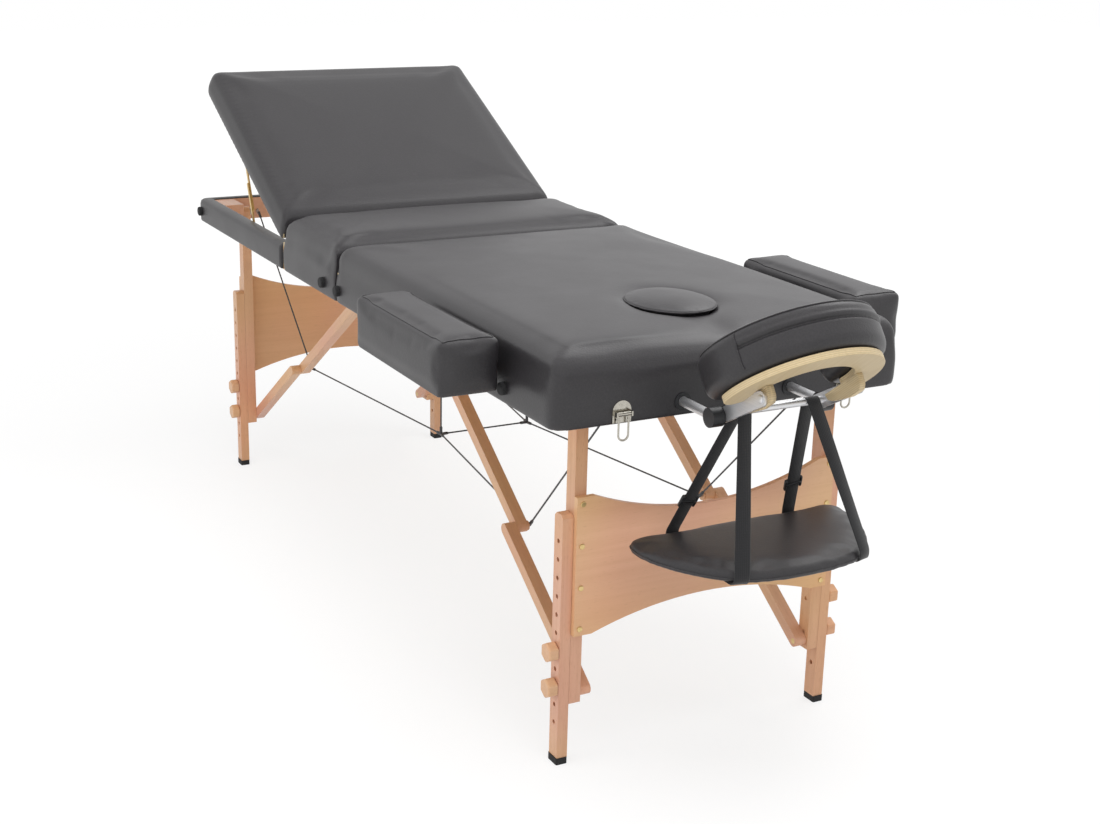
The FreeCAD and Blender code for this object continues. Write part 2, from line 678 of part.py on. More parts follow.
def hinge_leaf(name, y, start, knuckles, gaps):
    """A hinge leaf with its knuckles on the fold line and room for the other leaf's knuckles."""
    leaf = box(name + "_plate", start, "%s - leaf_w / 2" % y, "frame_z", "rail_gap + rail_w - 5", "leaf_w",
               "leaf_t")
    barrels = [rod(name + "_knuckle", "Y", "0", "%s + %s" % (y, low), "fold_z", "hinge_r", long)
               for low, long in knuckles]
    tools = [box(name + "_gap", "-hinge_r - 1", "%s + %s - slip" % (y, low), "fold_z - hinge_r - 1",
                 "2 * hinge_r + 2",
                 "%s + 2 * slip" % long, "2 * hinge_r + 2") for low, long in gaps]
    tools.append(rod(name + "_bore", "Y", "0", "%s - leaf_w" % y, "fold_z", "pin_r + run_gap",
                     "2 * leaf_w"))
    return cut(name, fuse(name + "_solid", leaf, *barrels), *tools)


HINGE_SPOTS = ("-hinge_y", "hinge_y")
node("head_hinge_leaves",
     *[hinge_leaf("head_hinge", y, "3", OUTER_KNUCKLES, MIDDLE_KNUCKLE) for y in HINGE_SPOTS])
fold_leaves = [hinge_leaf("foot_hinge", y, "-(rail_gap + rail_w - 2)", MIDDLE_KNUCKLE, OUTER_KNUCKLES)
               for y in HINGE_SPOTS]
node("fold_pins",
     *[rod("fold_pin", "Y", "0", "%s - leaf_w / 2" % y, "fold_z", "pin_r", "leaf_w") for y in HINGE_SPOTS])

# Draw latches on the head end with wire bails, and the hooks that they catch on the foot end.
latch_z = "frame_z + latch_low"
arch_z = "latch_h - latch_w / 2 - 1"
latch = new_body("latch_base", "YZ_Plane", [[
    ("-latch_w / 2", "0"), ("-latch_w / 2", arch_z, "latch_w / 2 * 1.001"), ("latch_w / 2", arch_z),
    ("latch_w / 2", "0")]],
    "latch_t", circles=[("-latch_w / 3", "6", "1.6"), ("latch_w / 3", "6", "1.6")])
place(latch, "half_len", "-latch_y", latch_z)
lug_low = "-latch_y - bail_w / 2 - 4"
lugs = [box("latch_lug", "half_len + latch_t", y, "latch_pivot - 4", "10", "3", "8")
        for y in (lug_low, "-latch_y + bail_w / 2 + 1")]
axle = rod("latch_axle", "Y", "bail_x", lug_low, "latch_pivot", "axle_r", "bail_w + 8")
node("latch_plates", *both_sides(fuse("latch", latch, axle, *lugs)))


def bail(side):
    """A wire loop that hangs from the latch axle: a roller sleeve, two arms and a round end."""
    x, y, z = num("fold_x + bail_x"), side * num("latch_y"), num("latch_pivot")
    half, long, thin = num("bail_w / 2 - 2"), num("bail_h"), num("wire_r")
    spots = [V(x, y - half, z), V(x, y - half, z - long + half), V(x, y, z - long),
             V(x, y + half, z - long + half), V(x, y + half, z)]
    path = Part.Wire([Part.makeLine(spots[0], spots[1]), Part.Arc(*spots[1:4]).toShape(),
                      Part.makeLine(spots[3], spots[4])])
    start = Part.Wire(Part.makeCircle(thin, spots[0], V(0, 0, -1)))
    sleeve = Part.makeCylinder(num("axle_r + 2"), 2 * half + 5, V(x, y - half - 2.5, z), V(0, 1, 0))
    bore = Part.makeCylinder(num("axle_r + run_gap"), 4 * half, V(x, y - 2 * half, z), V(0, 1, 0))
    item = add("Part::Feature", "bail")
    item.Shape = path.makePipeShell([start], True, False).fuse(sleeve).cut(bore)
    return item


node("latch_bails", bail(-1), bail(1))
hook_x = "-half_len - latch_t"
hook = fuse("strike_hook", box("hook_plate", hook_x, "-latch_y - bail_w / 2", latch_z, "latch_t", "bail_w",
                               "latch_h - 8"),
            box("hook_arm", hook_x + " - 8", "-latch_y - 6", "frame_z + 20", "8", "12", "3"),
            box("hook_lip", hook_x + " - 8", "-latch_y - 6", "frame_z + 20", "2.5", "12", "10"))
node("strike_hooks", *both_sides(hook))

# Foot half: rails, seat and the cover on the open rails.
foot_rail = mirror(plain_rail, "X")
stay_pin = rod("stay_pin_bore", "Y", "-stay_x", "-rail_in - 10", "stay_pivot", "stay_pin", "12")
foot_rail = cut("foot_side_rail", foot_rail, stay_pin)
node("foot_rails", *both_sides(foot_rail), mirror(plain_end, "X"), mirror(centre_rail, "X"))
node("seat_deck", box("seat_board", "-seat_end", "-rail_out", "rail_top", "seat_end - rail_gap",
                      "2 * rail_out", "deck_t"))
seat_ends = ("-seat_end", "-pad_gap")
seat_outer = common("seat_pad_outer", *pad_block(
    "seat_pad", seat_ends, "0", "table_w / 2", ("frame_z", "pad_edge_z"), TABLE_SHAPE,
    ("edge_r", "back_r", "fold_r")))
seat_space = box("seat_space", "-seat_end - 1", "-rail_out", "frame_z - 1", "seat_end + 1", "2 * rail_out",
                 "rail_h + deck_t + 1")
foot_bumper_bores = [bumper_rod("foot_bumper_bore", x, "bumper_r") for x in BUMPERS["foot"]]
node("seat_pad", cut("seat_pad_cut", seat_outer, seat_space, foot_bumper_bores[0]))
cover_ends = ("-half_len", "-seat_end - 1")
cover = plan_block("cover_block", cover_ends, "table_w / 2", ("corner_r", None), "frame_z",
                   "rail_h + cover_top")
cover = rounded("cover_round", cover, "cover_top - 0.5", lambda p, e: (
    p.z > num("rail_top + cover_top") - 0.1 and p.x < num("fold_x - seat_end - 1") - 0.1))
cover_hole = box("cover_hole", "-end_rail_x", "-rail_in", "frame_z", "end_rail_x", "2 * rail_in",
                 "rail_h + 20")
cover_space = mirror(frame_plan("cover_space", "frame_z - 1", "rail_h + 1"), "X")
node("rail_cover", cut("rail_cover_cut", cover, cover_space, cover_hole, foot_bumper_bores[1]))
node("foot_bumpers", *bumpers("foot"))

# The backrest is drawn flat and turned about its hinge.
back_turn = FreeCAD.Placement(V(), FreeCAD.Rotation(V(0, 1, 0), num("back_deg")),
                              V(num("fold_x - back_axis"), 0, num("back_z")))


def raised(label, *parts):
    item = add("Part::Compound", label + "_flat")
    item.Links = list(parts)
    item.Placement = back_turn
    return node(label, item)


back_ends = ("-half_len", "-back_start")
raised("backrest_board", plan_block("back_board", back_ends, "rail_out - back_side", ("corner_r", None),
                                    "back_under", "back_t"))
raised("backrest_pad", common("back_pad_outer", *pad_block(
    "back_pad", back_ends, "0", "back_half", ("back_top", "pad_edge_z"), ("crown", "back_draw", "side_bow"),
    ("edge_r", "end_r", "back_r")),
    plan_block("back_pad_plan", back_ends, "back_half + 1", ("back_corner", None), "back_top",
               "foam_t + 60")))

axis_r = "back_rise + leaf_t"
SEAT_KNUCKLES = [("-leaf_w / 2", "leaf_w / 3"), ("leaf_w / 6", "leaf_w / 3")]
BACK_KNUCKLE = [("-leaf_w / 6 + slip", "leaf_w / 3 - 2 * slip")]


def back_leaf(name, y, plate, knuckles, gaps, bore):
    """A leaf of the backrest hinge, with its knuckles on the hinge axis."""
    barrels = [rod(name + "_knuckle", "Y", "-back_axis", "%s + %s" % (y, low), "back_z", axis_r, long)
               for low, long in knuckles]
    tools = [box(name + "_gap", "-back_axis - 7", "%s + %s - slip" % (y, low), "back_z - 7", "14",
                 "%s + 2 * slip" % long, "14")
             for low, long in gaps]
    if bore:
        tools.append(rod(name + "_bore", "Y", "-back_axis", "%s - leaf_w" % y, "back_z", "pin_r + run_gap",
                         "2 * leaf_w"))
    solid = cut(name, fuse(name + "_solid", plate, *barrels), *tools)
    if bore:
        return solid
    return fuse(name + "_pinned", solid, rod(name + "_pin", "Y", "-back_axis", "%s - leaf_w / 2" % y,
                                             "back_z", "pin_r", "leaf_w"))


BACK_SPOTS = ("-back_hinge_y", "back_hinge_y")
seat_leaves = [back_leaf("seat_leaf", y, box("seat_leaf_plate", "-back_axis", "%s - leaf_w / 2" % y,
                                             "rail_top - leaf_t",
                                             "40", "leaf_w", "leaf_t"), SEAT_KNUCKLES, BACK_KNUCKLE,
                                             False) for y in BACK_SPOTS]
node("foot_hinge_leaves", *fold_leaves, *seat_leaves)
back_leaves = [back_leaf("back_leaf", y, box("back_leaf_plate", "-back_axis - 40", "%s - leaf_w / 2" % y,
                                             "back_under - leaf_t",
                                             "40", "leaf_w", "leaf_t"), BACK_KNUCKLE, SEAT_KNUCKLES,
                                             True) for y in BACK_SPOTS]
bracket_x = "-back_axis - stay_reach"
bracket = box("stay_bracket", bracket_x + " - 9", "-stay_y_up + stay_t + slip", "stay_flat_z - 7", "18",
              "stay_t", "back_under - stay_flat_z + 7")
bracket_pin = rod("bracket_pin", "Y", bracket_x, "-stay_y_up", "stay_flat_z", "stay_pin",
                  "stay_t + slip + stay_t")
bracket = fuse("stay_holder", bracket, bracket_pin)
raised("backrest_fittings", *back_leaves, *both_sides(bracket))


def bar(name, length, half, thick, bores):
    """A flat bar with round ends along local X, from its first hole to its last."""
    return new_body(name, "XZ_Plane", [[
        ("0", "-(%s)" % half), (length, "-(%s)" % half, "-(%s) * 1.001" % half),
        (length, half), ("0", half, "-(%s) * 1.001" % half)]],
        thick, circles=[(spot, "0", radius) for spot, radius in bores])


def lean(item, x, y, z, degrees):
    """Turn a bar down from +X by an angle, with its first hole at x and z and its inner side at y."""
    return place(item, x, y, z, FreeCAD.Rotation(V(0, 1, 0), degrees))


# Stays of the backrest: the upper bar slides along the lower bar, in a plane of its own.
tip = back_turn.multVec(V(num("fold_x") + num(bracket_x), 0, num("stay_flat_z")))
foot_pin = V(num("fold_x - stay_x"), 0, num("stay_pivot"))
stay_angle = math.degrees(math.atan2(tip.z - foot_pin.z, tip.x - foot_pin.x))
low_bar = bar("stay_low_bar", "stay_low", "stay_w / 2", "stay_t", [("0", "stay_pin + run_gap")])
lean(low_bar, "-stay_x", "-stay_y_low + stay_t", "stay_pivot", -stay_angle)
node("stay_lower_bars", *both_sides(low_bar))
up_bar = bar("stay_up_bar", "stay_up", "stay_w / 2", "stay_t", [("0", "stay_pin + run_gap")])
lean(up_bar, "-back_axis - stay_reach * cos(back_deg) - stay_drop * sin(back_deg)", "-stay_y_up + stay_t",
     "back_z + stay_reach * sin(back_deg) - stay_drop * cos(back_deg)", 180 - stay_angle)
node("stay_upper_bars", *both_sides(up_bar))


def other_half(label, *parts):
    """The same pieces on the foot half."""
    return node(label, *[mirror(piece, "X") for piece in parts])


# Legs: upper legs on bolts, an end panel between them, and lower legs that step up and down.
leg_bolts = [("leg_x", "leg_z", "bolt_r + run_gap"), ("leg_x", "brace_z", "bolt_r")]
knob_heights = {"lower": "hole_z + knob_low * hole_pitch", "upper": "hole_z + knob_high * hole_pitch"}
leg_bolts += [("leg_x", z, "knob_bolt + 0.1") for z in knob_heights.values()]
upper_leg = new_body("upper_leg", "XZ_Plane", [[
    ("leg_x - leg_d / 2", "leg_end_z"), ("leg_x + leg_d / 2", "leg_end_z"),
    ("leg_x + leg_d / 2", "leg_z", "-(leg_d / 2) * 1.001"), ("leg_x - leg_d / 2", "leg_z")]], "leg_w",
    circles=leg_bolts)
place(upper_leg, "0", "-leg_in", "0")
upper_legs = both_sides(upper_leg)
node("head_upper_legs", *upper_legs)
other_half("foot_upper_legs", *upper_legs)

ear = "leg_out - panel_ear"
panel = new_body("panel", "YZ_Plane", [[
    ("-leg_out", "panel_low"), ("-(%s)" % ear, "panel_low", crown_radius(ear, "panel_arch")),
    (ear, "panel_low"),
    ("leg_out", "panel_low"), ("leg_out", "panel_top"), (ear, "panel_top", crown_radius(ear, "panel_dip")),
    ("-(%s)" % ear, "panel_top"), ("-leg_out", "panel_top")]], "panel_t")
place(panel, "leg_back", "0", "0")
node("head_end_panel", panel)
other_half("foot_end_panel", panel)

screws = [rounded("panel_screw_round", rod("panel_screw", "X", "leg_back + panel_t", "-screw_y",
                                           "screw_low + %d * screw_pitch" % k,
                                           "screw_r", "screw_h"), "1.2",
                  lambda p, e: p.x > num("fold_x + leg_back + panel_t + screw_h") - 0.1) for k in range(4)]
pivot_bolt = rod("brace_leg_bolt", "Y", "leg_x", "-leg_out", "brace_z", "bolt_r",
                 "leg_out - low_link_y + link_t")
leg_screws = [piece for screw in (*screws, pivot_bolt) for piece in both_sides(screw)]
node("head_leg_screws", *leg_screws)
other_half("foot_leg_screws", *leg_screws)

post_bores = [("leg_x", "hole_z + %d * hole_pitch" % k, "hole_r") for k in range(int(num("hole_count")))]
post = new_body("post", "XZ_Plane", [[
    ("leg_x - leg_d / 2", "foot_h"), ("leg_x + leg_d / 2", "foot_h"), ("leg_x + leg_d / 2", "post_top - 6"),
    ("leg_x + leg_d / 2 - 6", "post_top"), ("leg_x - leg_d / 2 + 6", "post_top"),
    ("leg_x - leg_d / 2", "post_top - 6")]],
    "post_w", circles=post_bores)
place(post, "0", "-post_in", "0")
foot = box("rubber_block", "leg_x - leg_d / 2 - foot_lip", "-post_out - foot_lip", "0",
           "leg_d + 2 * foot_lip", "post_w + foot_lip", "foot_h")
foot = rounded("rubber_round", foot, "3", lambda p, e: straight(e, "z"))
for label, piece in (("lower_leg", post), ("rubber_foot", foot)):
    near, far = both_sides(piece)
    node("near_head_" + label, near)
    node("far_head_" + label, far)
    other_half("near_foot_" + label, near)
    other_half("far_foot_" + label, far)

for level, height in knob_heights.items():
    corners = [("knob_r * cos(%d)" % turn, "knob_r * sin(%d)" % turn) for turn in range(30, 390, 60)]
    knob = place(new_body("knob_" + level, "XZ_Plane", [corners], "knob_t"), "leg_x", "-post_out - slip",
                 height)
    round_body(knob, "knob_round", lambda p, e: True)
    stud = rod("knob_stud", "Y", "leg_x", "-post_out - slip - 2", height, "knob_bolt", "post_out - leg_in")
    knobs = both_sides(fuse("knob_and_bolt", knob, stud))
    node("head_%s_knobs" % level, *knobs)
    other_half("foot_%s_knobs" % level, *knobs)

# Brace links: one straight line at rest from the leg to the frame, with an elbow between the links.
fall = math.degrees(math.atan2(num("brace_top - brace_z"), num("leg_x - brace_x")))
line = "sqrt((leg_x - brace_x)^2 + (brace_top - brace_z)^2)"
near_side = "leg_z - brace_z"
far_side = "sqrt((leg_x - brace_x)^2 + (brace_top - leg_z)^2)"
low_length = "(%s + (%s) - %s) / 2" % (line, near_side, far_side)
up_length = "(%s - (%s) + %s) / 2" % (line, near_side, far_side)
elbow_x = "brace_x + (leg_x - brace_x) * (%s) / %s" % (up_length, line)
elbow_z = "brace_top - (brace_top - brace_z) * (%s) / %s" % (up_length, line)
up_link = bar("upper_link", up_length, "link_w / 2", "link_t",
              [("0", "bolt_r + run_gap"), (up_length, "bolt_r")])
lean(up_link, "brace_x", "-up_link_y + link_t", "brace_top", fall)
elbow_bolt = fuse("elbow_bolt", rod("elbow_shank", "Y", elbow_x, "-up_link_y", elbow_z, "bolt_r", "link_t"),
                  rod("elbow_head", "Y", elbow_x, "-up_link_in", elbow_z, "bolt_r + 4", "4"))
low_link = bar("lower_link", low_length, "link_w / 2", "link_t", [(low_length, "bolt_r + run_gap")])
lean(low_link, elbow_x, "-low_link_y + link_t", elbow_z, fall)
upper_links = [*both_sides(up_link), *both_sides(elbow_bolt)]
node("head_upper_links", *upper_links)
other_half("foot_upper_links", *upper_links)
lower_links = both_sides(low_link)
node("head_lower_links", *lower_links)
other_half("foot_lower_links", *lower_links)


# Steel cables: a crossing under the fold, from there to the four elbows and up to the four eyes.
def cable_runs():
    """Straight runs between the places that hold the cable."""
    middle = num("fold_x")
    inside = num("up_link_in") - 8
    runs = [(V(middle, -num("node_y"), num("node_z")), V(middle, num("node_y"), num("node_z")))]
    for side in (-1, 1):
        knot = V(middle, side * num("node_y"), num("node_z"))
        runs.append((knot, V(middle, side * num("node_y"), num("fold_z") - 2)))
        for end in (-1, 1):
            elbow = V(middle + end * num(elbow_x), side * inside, num(elbow_z))
            eye_in = V(middle + end * (num("end_rail_x") - 2 * num("eye_r") - 6), side * num("eye_y"),
                       num("frame_z + eye_z"))
            runs += [(knot, elbow), (elbow, eye_in)]
    return runs


cables = add("Part::Feature", "cables")
tubes = [Part.makeCylinder(num("cable_r"), (b - a).Length, a, b - a) for a, b in cable_runs()]
knots = [Part.makeSphere(num("cable_r") + 0.6, spot)
         for spot in {(a.x, a.y, a.z): a for a, b in cable_runs()}.values()]
cables.Shape = tubes[0].multiFuse(tubes[1:] + knots)
node("leg_cables", cables)

# Headrest: dowels into the table, hubs, tilting side plates with a cross bar, and the cushion on its board.
near_dowel = rod("headrest_dowel", "X", "half_len - dowel_in", "-dowel_y", "hub_z", "dowel_r",
                 "hub_x - 4 - half_len + dowel_in")
node("headrest_dowels", *both_sides(near_dowel))
hub = fuse("hub_solid", rod("hub_drum", "Y", "hub_x", "-dowel_y - hub_w / 2", "hub_z", "hub_r", "hub_w"),
           rod("hub_pin", "Y", "hub_x", "-dowel_y + hub_w / 2", "hub_z", "hub_pin_r", "plate_t + 2 * slip"),
           rod("hub_cap", "Y", "hub_x", "-plate_y + plate_t + slip", "hub_z", "hub_pin_r + 4", "3"))
hub = cut("hub", hub, rod("hub_bore", "X", "hub_x - hub_r - 1", "-dowel_y", "hub_z", "dowel_r",
                          "hub_r - 3"))
node("headrest_hubs", *both_sides(hub))
plate_run = "sqrt(plate_x^2 + plate_z^2)"
plate_lean = -math.degrees(math.atan2(num("plate_z"), num("plate_x")))
side_plate = bar("side_plate", plate_run, "plate_w / 2", "plate_t",
                 [("0", "hub_pin_r + run_gap"), (plate_run, "hub_pin_r")])
lean(side_plate, "hub_x", "-plate_y + plate_t", "hub_z", plate_lean)
bar_x = "hub_x + bar_at * plate_x / " + plate_run
bar_z = "hub_z + bar_at * plate_z / " + plate_run
cross_bar = rod("cross_bar", "Y", bar_x, "-plate_y + plate_t", bar_z, "bar_r", "2 * (plate_y - plate_t)")
ear_bolt = fuse("ear_bolt", rod("ear_bolt_shank", "Y", "hub_x + plate_x", "-plate_y", "hub_z + plate_z",
                                "hub_pin_r", "plate_t + slip + ear_w"),
                rod("ear_bolt_head", "Y", "hub_x + plate_x", "-plate_y - 3", "hub_z + plate_z",
                    "hub_pin_r + 4", "3"))
node("headrest_plates", *both_sides(side_plate), *both_sides(ear_bolt), cross_bar)


def tilted(item, y="0"):
    """Put a piece of the face cradle, drawn on the cushion's top plane, in its tilted place."""
    item.Placement = FreeCAD.Placement(V(), FreeCAD.Rotation(V(0, -1, 0), num("ring_deg")))
    return place_only(item, y)


def place_only(item, y):
    bind(item, "Placement.Base.x", "fold_x + ring_x")
    bind(item, "Placement.Base.y", y)
    bind(item, "Placement.Base.z", "ring_z")
    return item


def ring_part(name, profile, arc):
    """A section on the cradle's middle plane, turned about the cradle's axis to both sides."""
    body = add("PartDesign::Body", name)
    sketch = body.newObject("Sketcher::SketchObject", name + "_sketch")
    sketch.AttachmentSupport = ([item for item in body.Origin.OriginFeatures if item.Role == "XZ_Plane"][0],
                                [""])
    sketch.MapMode = "FlatFace"
    add_loop(sketch, profile)
    doc.recompute()
    turn = body.newObject("PartDesign::Revolution", name + "_turn")
    turn.Profile = sketch
    turn.ReferenceAxis = (sketch, ["V_Axis"])
    turn.Midplane = True
    bind(turn, "Angle", arc)
    body.Tip = turn
    return body


r_in, r_out = "ring_r - ring_w / 2", "ring_r + ring_w / 2"
flat_half = "(ring_w / 2 - ring_edge)"
cushion = ring_part("cushion_ring", [
    (r_in + " + ring_draw", "-ring_t", "ring_bow"), (r_in, "-ring_edge", "ring_edge"),
    (r_in + " + ring_edge", "0", crown_radius(flat_half, "2")), (r_out + " - ring_edge", "0", "ring_edge"),
    (r_out, "-ring_edge", "ring_bow"), (r_out + " - ring_draw", "-ring_t")], "ring_arc")
round_body(cushion, "ring_end", lambda p, e: p.z > num("-ring_t") + 1 and (
    abs(math.degrees(math.atan2(p.y, p.x))) > num("ring_arc") / 2 - 0.5))
node("headrest_cushion", tilted(cushion))
board = ring_part("cradle_ring", [
    (r_in + " + board_in", "-ring_t - board_t"), (r_in + " + board_in", "-ring_t"),
    (r_out + " - board_in", "-ring_t"), (r_out + " - board_in", "-ring_t - board_t")], "board_arc")
ear_u = "(hub_x + plate_x - ring_x) * cos(ring_deg) + (hub_z + plate_z - ring_z) * sin(ring_deg)"
ear_v = "-(hub_x + plate_x - ring_x) * sin(ring_deg) + (hub_z + plate_z - ring_z) * cos(ring_deg)"
near_ear = new_body("cradle_ear", "XZ_Plane", [[
    ("%s - ear_len / 2" % ear_u, "-ring_t - board_t - ear_h + 8"),
    ("%s - ear_len / 2 + 8" % ear_u, "-ring_t - board_t - ear_h"),
    ("%s + ear_len / 2 - 8" % ear_u, "-ring_t - board_t - ear_h"),
    ("%s + ear_len / 2" % ear_u, "-ring_t - board_t - ear_h + 8"),
    ("%s + ear_len / 2" % ear_u, "-ring_t - board_t"), ("%s - ear_len / 2" % ear_u, "-ring_t - board_t")]],
    "ear_w", circles=[(ear_u, ear_v, "hub_pin_r + run_gap")])
near_ear = tilted(near_ear, "-ear_y + ear_w")
node("cradle_board", tilted(board), *both_sides(near_ear))

# Arm shelf: a padded board on webbing that loops over the cross bar.
shelf_side = "shelf_front - shelf_corner"
shelf = new_body("shelf_block", "XY_Plane", [[
    ("shelf_back", "-shelf_half"),
    (shelf_side, "-shelf_half", "-shelf_corner"),
    ("shelf_front", "-shelf_flat", "-(%s)" % crown_radius("shelf_flat", "shelf_bulge")),
    ("shelf_front", "shelf_flat", "-shelf_corner"),
    (shelf_side, "shelf_half"),
    ("shelf_back", "shelf_half")]], "shelf_t")
place(shelf, "0", "0", "shelf_z")
round_body(shelf, "shelf_round", lambda p, e: straight(e, "z") and p.x < num("shelf_back") + 0.1)
round_body(shelf, "shelf_edge", lambda p, e: p.z > num("shelf_t") - 0.1 or p.z < 0.1)
node("shelf_pad", shelf)


def strap(name, x, y):
    """A flat band from the cross bar down to the shelf, its width across the table."""
    wide, thick = num("strap_w"), num("strap_t")
    side = 1 if num(x) > num(bar_x) else -1
    top = V(num(bar_x) + num("fold_x") + side * (num("bar_r + strap_gap") + thick / 2), -num("strap_top"),
            num(bar_z))
    low = V(num(x) + num("fold_x"), -num(y), num("shelf_top"))
    wires = []
    for spot in (top, low):
        corners = [spot + V(a * thick / 2, b * wide / 2, 0) for a,
                   b in ((-1, -1), (1, -1), (1, 1), (-1, 1), (-1, -1))]
        wires.append(Part.makePolygon(corners))
    item = add("Part::Feature", name)
    item.Shape = Part.makeLoft(wires, True, True)
    return item


loop_y = "-strap_top - strap_w / 2"
loop = cut("strap_loop", rod("strap_loop_out", "Y", bar_x, loop_y, bar_z, "bar_r + strap_gap + strap_t",
                             "strap_w"),
           rod("strap_loop_in", "Y", bar_x, loop_y + " - 1", bar_z, "bar_r + strap_gap", "strap_w + 2"))
bands = [strap("rear_strap", "shelf_back + strap_edge", "strap_back"),
         strap("front_strap", "shelf_front - strap_edge - 6", "strap_front")]
bands = cut("strap_bands", fuse("strap_pair", *bands),
            rod("strap_room", "Y", bar_x, "-strap_front - 40", bar_z, "bar_r + strap_gap", "strap_front"))
node("shelf_straps", *both_sides(fuse("strap_set", loop, bands)))

# Armrests: padded blocks on two dowels each.
arm_ends = ("arm_x", "arm_x + arm_len")
arm_mid = "-(arm_y + arm_w / 2)"
arm_top = "arm_z + arm_h"
arm_block = common("arm_block", *pad_block("arm", arm_ends, arm_mid, "arm_w / 2",
                                           ("arm_z", arm_top + " - arm_crown"),
                                           ("arm_crown", "arm_draw", "arm_bow"),
                                           ("arm_r", "arm_r", "arm_r")))
arm_holes = [rod("arm_hole", "Y", x, "-arm_y - arm_pin_in", "arm_pin_z", "arm_pin_r", "arm_pin_in + 10")
             for x in ARM_HOLES]
arm_pad = cut("arm_pad", arm_block, *arm_holes)
near, far = both_sides(arm_pad)
node("near_armrest_pad", near)
node("far_armrest_pad", far)
arm_pins = [rod("arm_pin", "Y", x, "-arm_y - arm_pin_in", "arm_pin_z", "arm_pin_r",
                "arm_y + arm_pin_in - arm_pin_end") for x in ARM_HOLES]
node("near_armrest_dowels", *arm_pins)
node("far_armrest_dowels", *[mirror(piece, "Y") for piece in arm_pins])

doc.recompute()
for item in doc.Objects:
    bad = [word for word in item.State if word in ("Invalid", "Error")]
    if bad:
        raise RuntimeError("%s is not built: %s" % (item.Name, bad))
os.makedirs("parts", exist_ok=True)
for item in nodes:
    if not item.Shape.Solids or not item.Shape.isValid():
        raise RuntimeError("%s has no good solid" % item.Label)
    item.Shape.exportStep("parts/%s.step" % item.Label)
whole = FreeCAD.BoundBox()
for item in nodes:
    whole.add(item.Shape.optimalBoundingBox(False))
print("%d nodes, X %.1f to %.1f, Y %.1f to %.1f, Z %.1f to %.1f" % (
    len(nodes), whole.XMin, whole.XMax, whole.YMin, whole.YMax, whole.ZMin, whole.ZMax))
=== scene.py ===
# %% [markdown]
# # A folding massage table
# The table stands on braced beech legs and has vinyl pads, a lifting backrest, two armrests, a face cradle
# and an arm shelf on straps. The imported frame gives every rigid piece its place. This lesson adds the
# camera, the light, the finishes, and the soft pieces that a rigid solid can't show.

# %% Load the frame
import math
from functools import partial

import bpy
import numpy as np
from mathutils import Matrix, Vector
from mathutils.bvhtree import BVHTree


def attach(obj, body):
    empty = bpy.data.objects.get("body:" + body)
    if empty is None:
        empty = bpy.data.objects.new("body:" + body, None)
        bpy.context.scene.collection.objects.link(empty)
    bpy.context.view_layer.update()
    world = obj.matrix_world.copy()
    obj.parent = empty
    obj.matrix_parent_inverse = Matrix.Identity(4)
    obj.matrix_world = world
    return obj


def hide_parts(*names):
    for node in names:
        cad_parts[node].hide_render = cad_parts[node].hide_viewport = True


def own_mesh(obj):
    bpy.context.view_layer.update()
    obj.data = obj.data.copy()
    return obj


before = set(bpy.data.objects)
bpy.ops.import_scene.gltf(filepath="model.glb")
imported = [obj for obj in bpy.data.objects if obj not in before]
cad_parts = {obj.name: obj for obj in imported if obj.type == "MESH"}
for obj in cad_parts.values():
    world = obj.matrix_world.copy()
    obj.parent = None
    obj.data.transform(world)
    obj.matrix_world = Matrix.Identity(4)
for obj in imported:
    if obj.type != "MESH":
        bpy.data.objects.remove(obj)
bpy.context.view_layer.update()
MM = 0.001
FOLD = -133.7
scene = bpy.context.scene

# %% [markdown]
# ## Camera
# The photograph was taken from the head end, a little above the pads. A camera can be placed by eye, but
# here its place was worked out from known points of the table, such as feet, frame corners and screws,
# because then every later comparison is about the pieces and not about the view.

# %% Place the camera
PHOTO_WIDE = 1100
FOCAL_PX = 1671.1
AROUND, ABOVE, ROLL = (math.radians(a) for a in (61.579, 17.349, 1.398))
EYE = Vector(((3090.7 + FOLD) * MM, -1512.4 * MM, 1425.6 * MM))

towards_eye = Vector((math.sin(AROUND) * math.cos(ABOVE), -math.cos(AROUND) * math.cos(ABOVE),
                      math.sin(ABOVE)))
level = Vector((0, 0, 1)).cross(towards_eye).normalized()
upright = towards_eye.cross(level)
to_right = level * math.cos(ROLL) + upright * math.sin(ROLL)
to_top = upright * math.cos(ROLL) - level * math.sin(ROLL)
lens = bpy.data.cameras.new("camera")
lens.sensor_fit = "HORIZONTAL"
lens.sensor_width = 36
lens.lens = FOCAL_PX / PHOTO_WIDE * lens.sensor_width
camera = bpy.data.objects.new("camera", lens)
camera.matrix_world = Matrix.Translation(EYE) @ Matrix((to_right, to_top, towards_eye)).transposed().to_4x4()
scene.collection.objects.link(camera)
scene.camera = camera
print("camera:", round(lens.lens, 2), "mm lens")

# %% [markdown]
# ## Nodes and colours
# Every finish below is a small network of shader nodes. One function adds a node, sets it and links it, and
# one function turns the usual hex colour codes into the linear values that a renderer works with.


# %% Helpers for nodes
def linear(code):
    """Linear colour of an sRGB hex code: c / 12.92 for dark values, else ((c + 0.055) / 1.055) ^ 2.4."""
    c = np.array([int(code[i:i + 2], 16) for i in (1, 3, 5)]) / 255
    c = np.where(c <= 0.04045, c / 12.92, ((c + 0.055) / 1.055) ** 2.4)
    return (*c.tolist(), 1.0)


def add(tree, kind, settings=None, inputs=None):
    """Add a node to a tree. Settings are its own values, and inputs are socket values or links."""
    node = tree.nodes.new("ShaderNode" + kind)
    for name, value in (settings or {}).items():
        setattr(node, name, value)
    for name, value in (inputs or {}).items():
        if isinstance(value, bpy.types.NodeSocket):
            tree.links.new(value, node.inputs[name])
        else:
            node.inputs[name].default_value = value
    return node


print("node helpers ready")

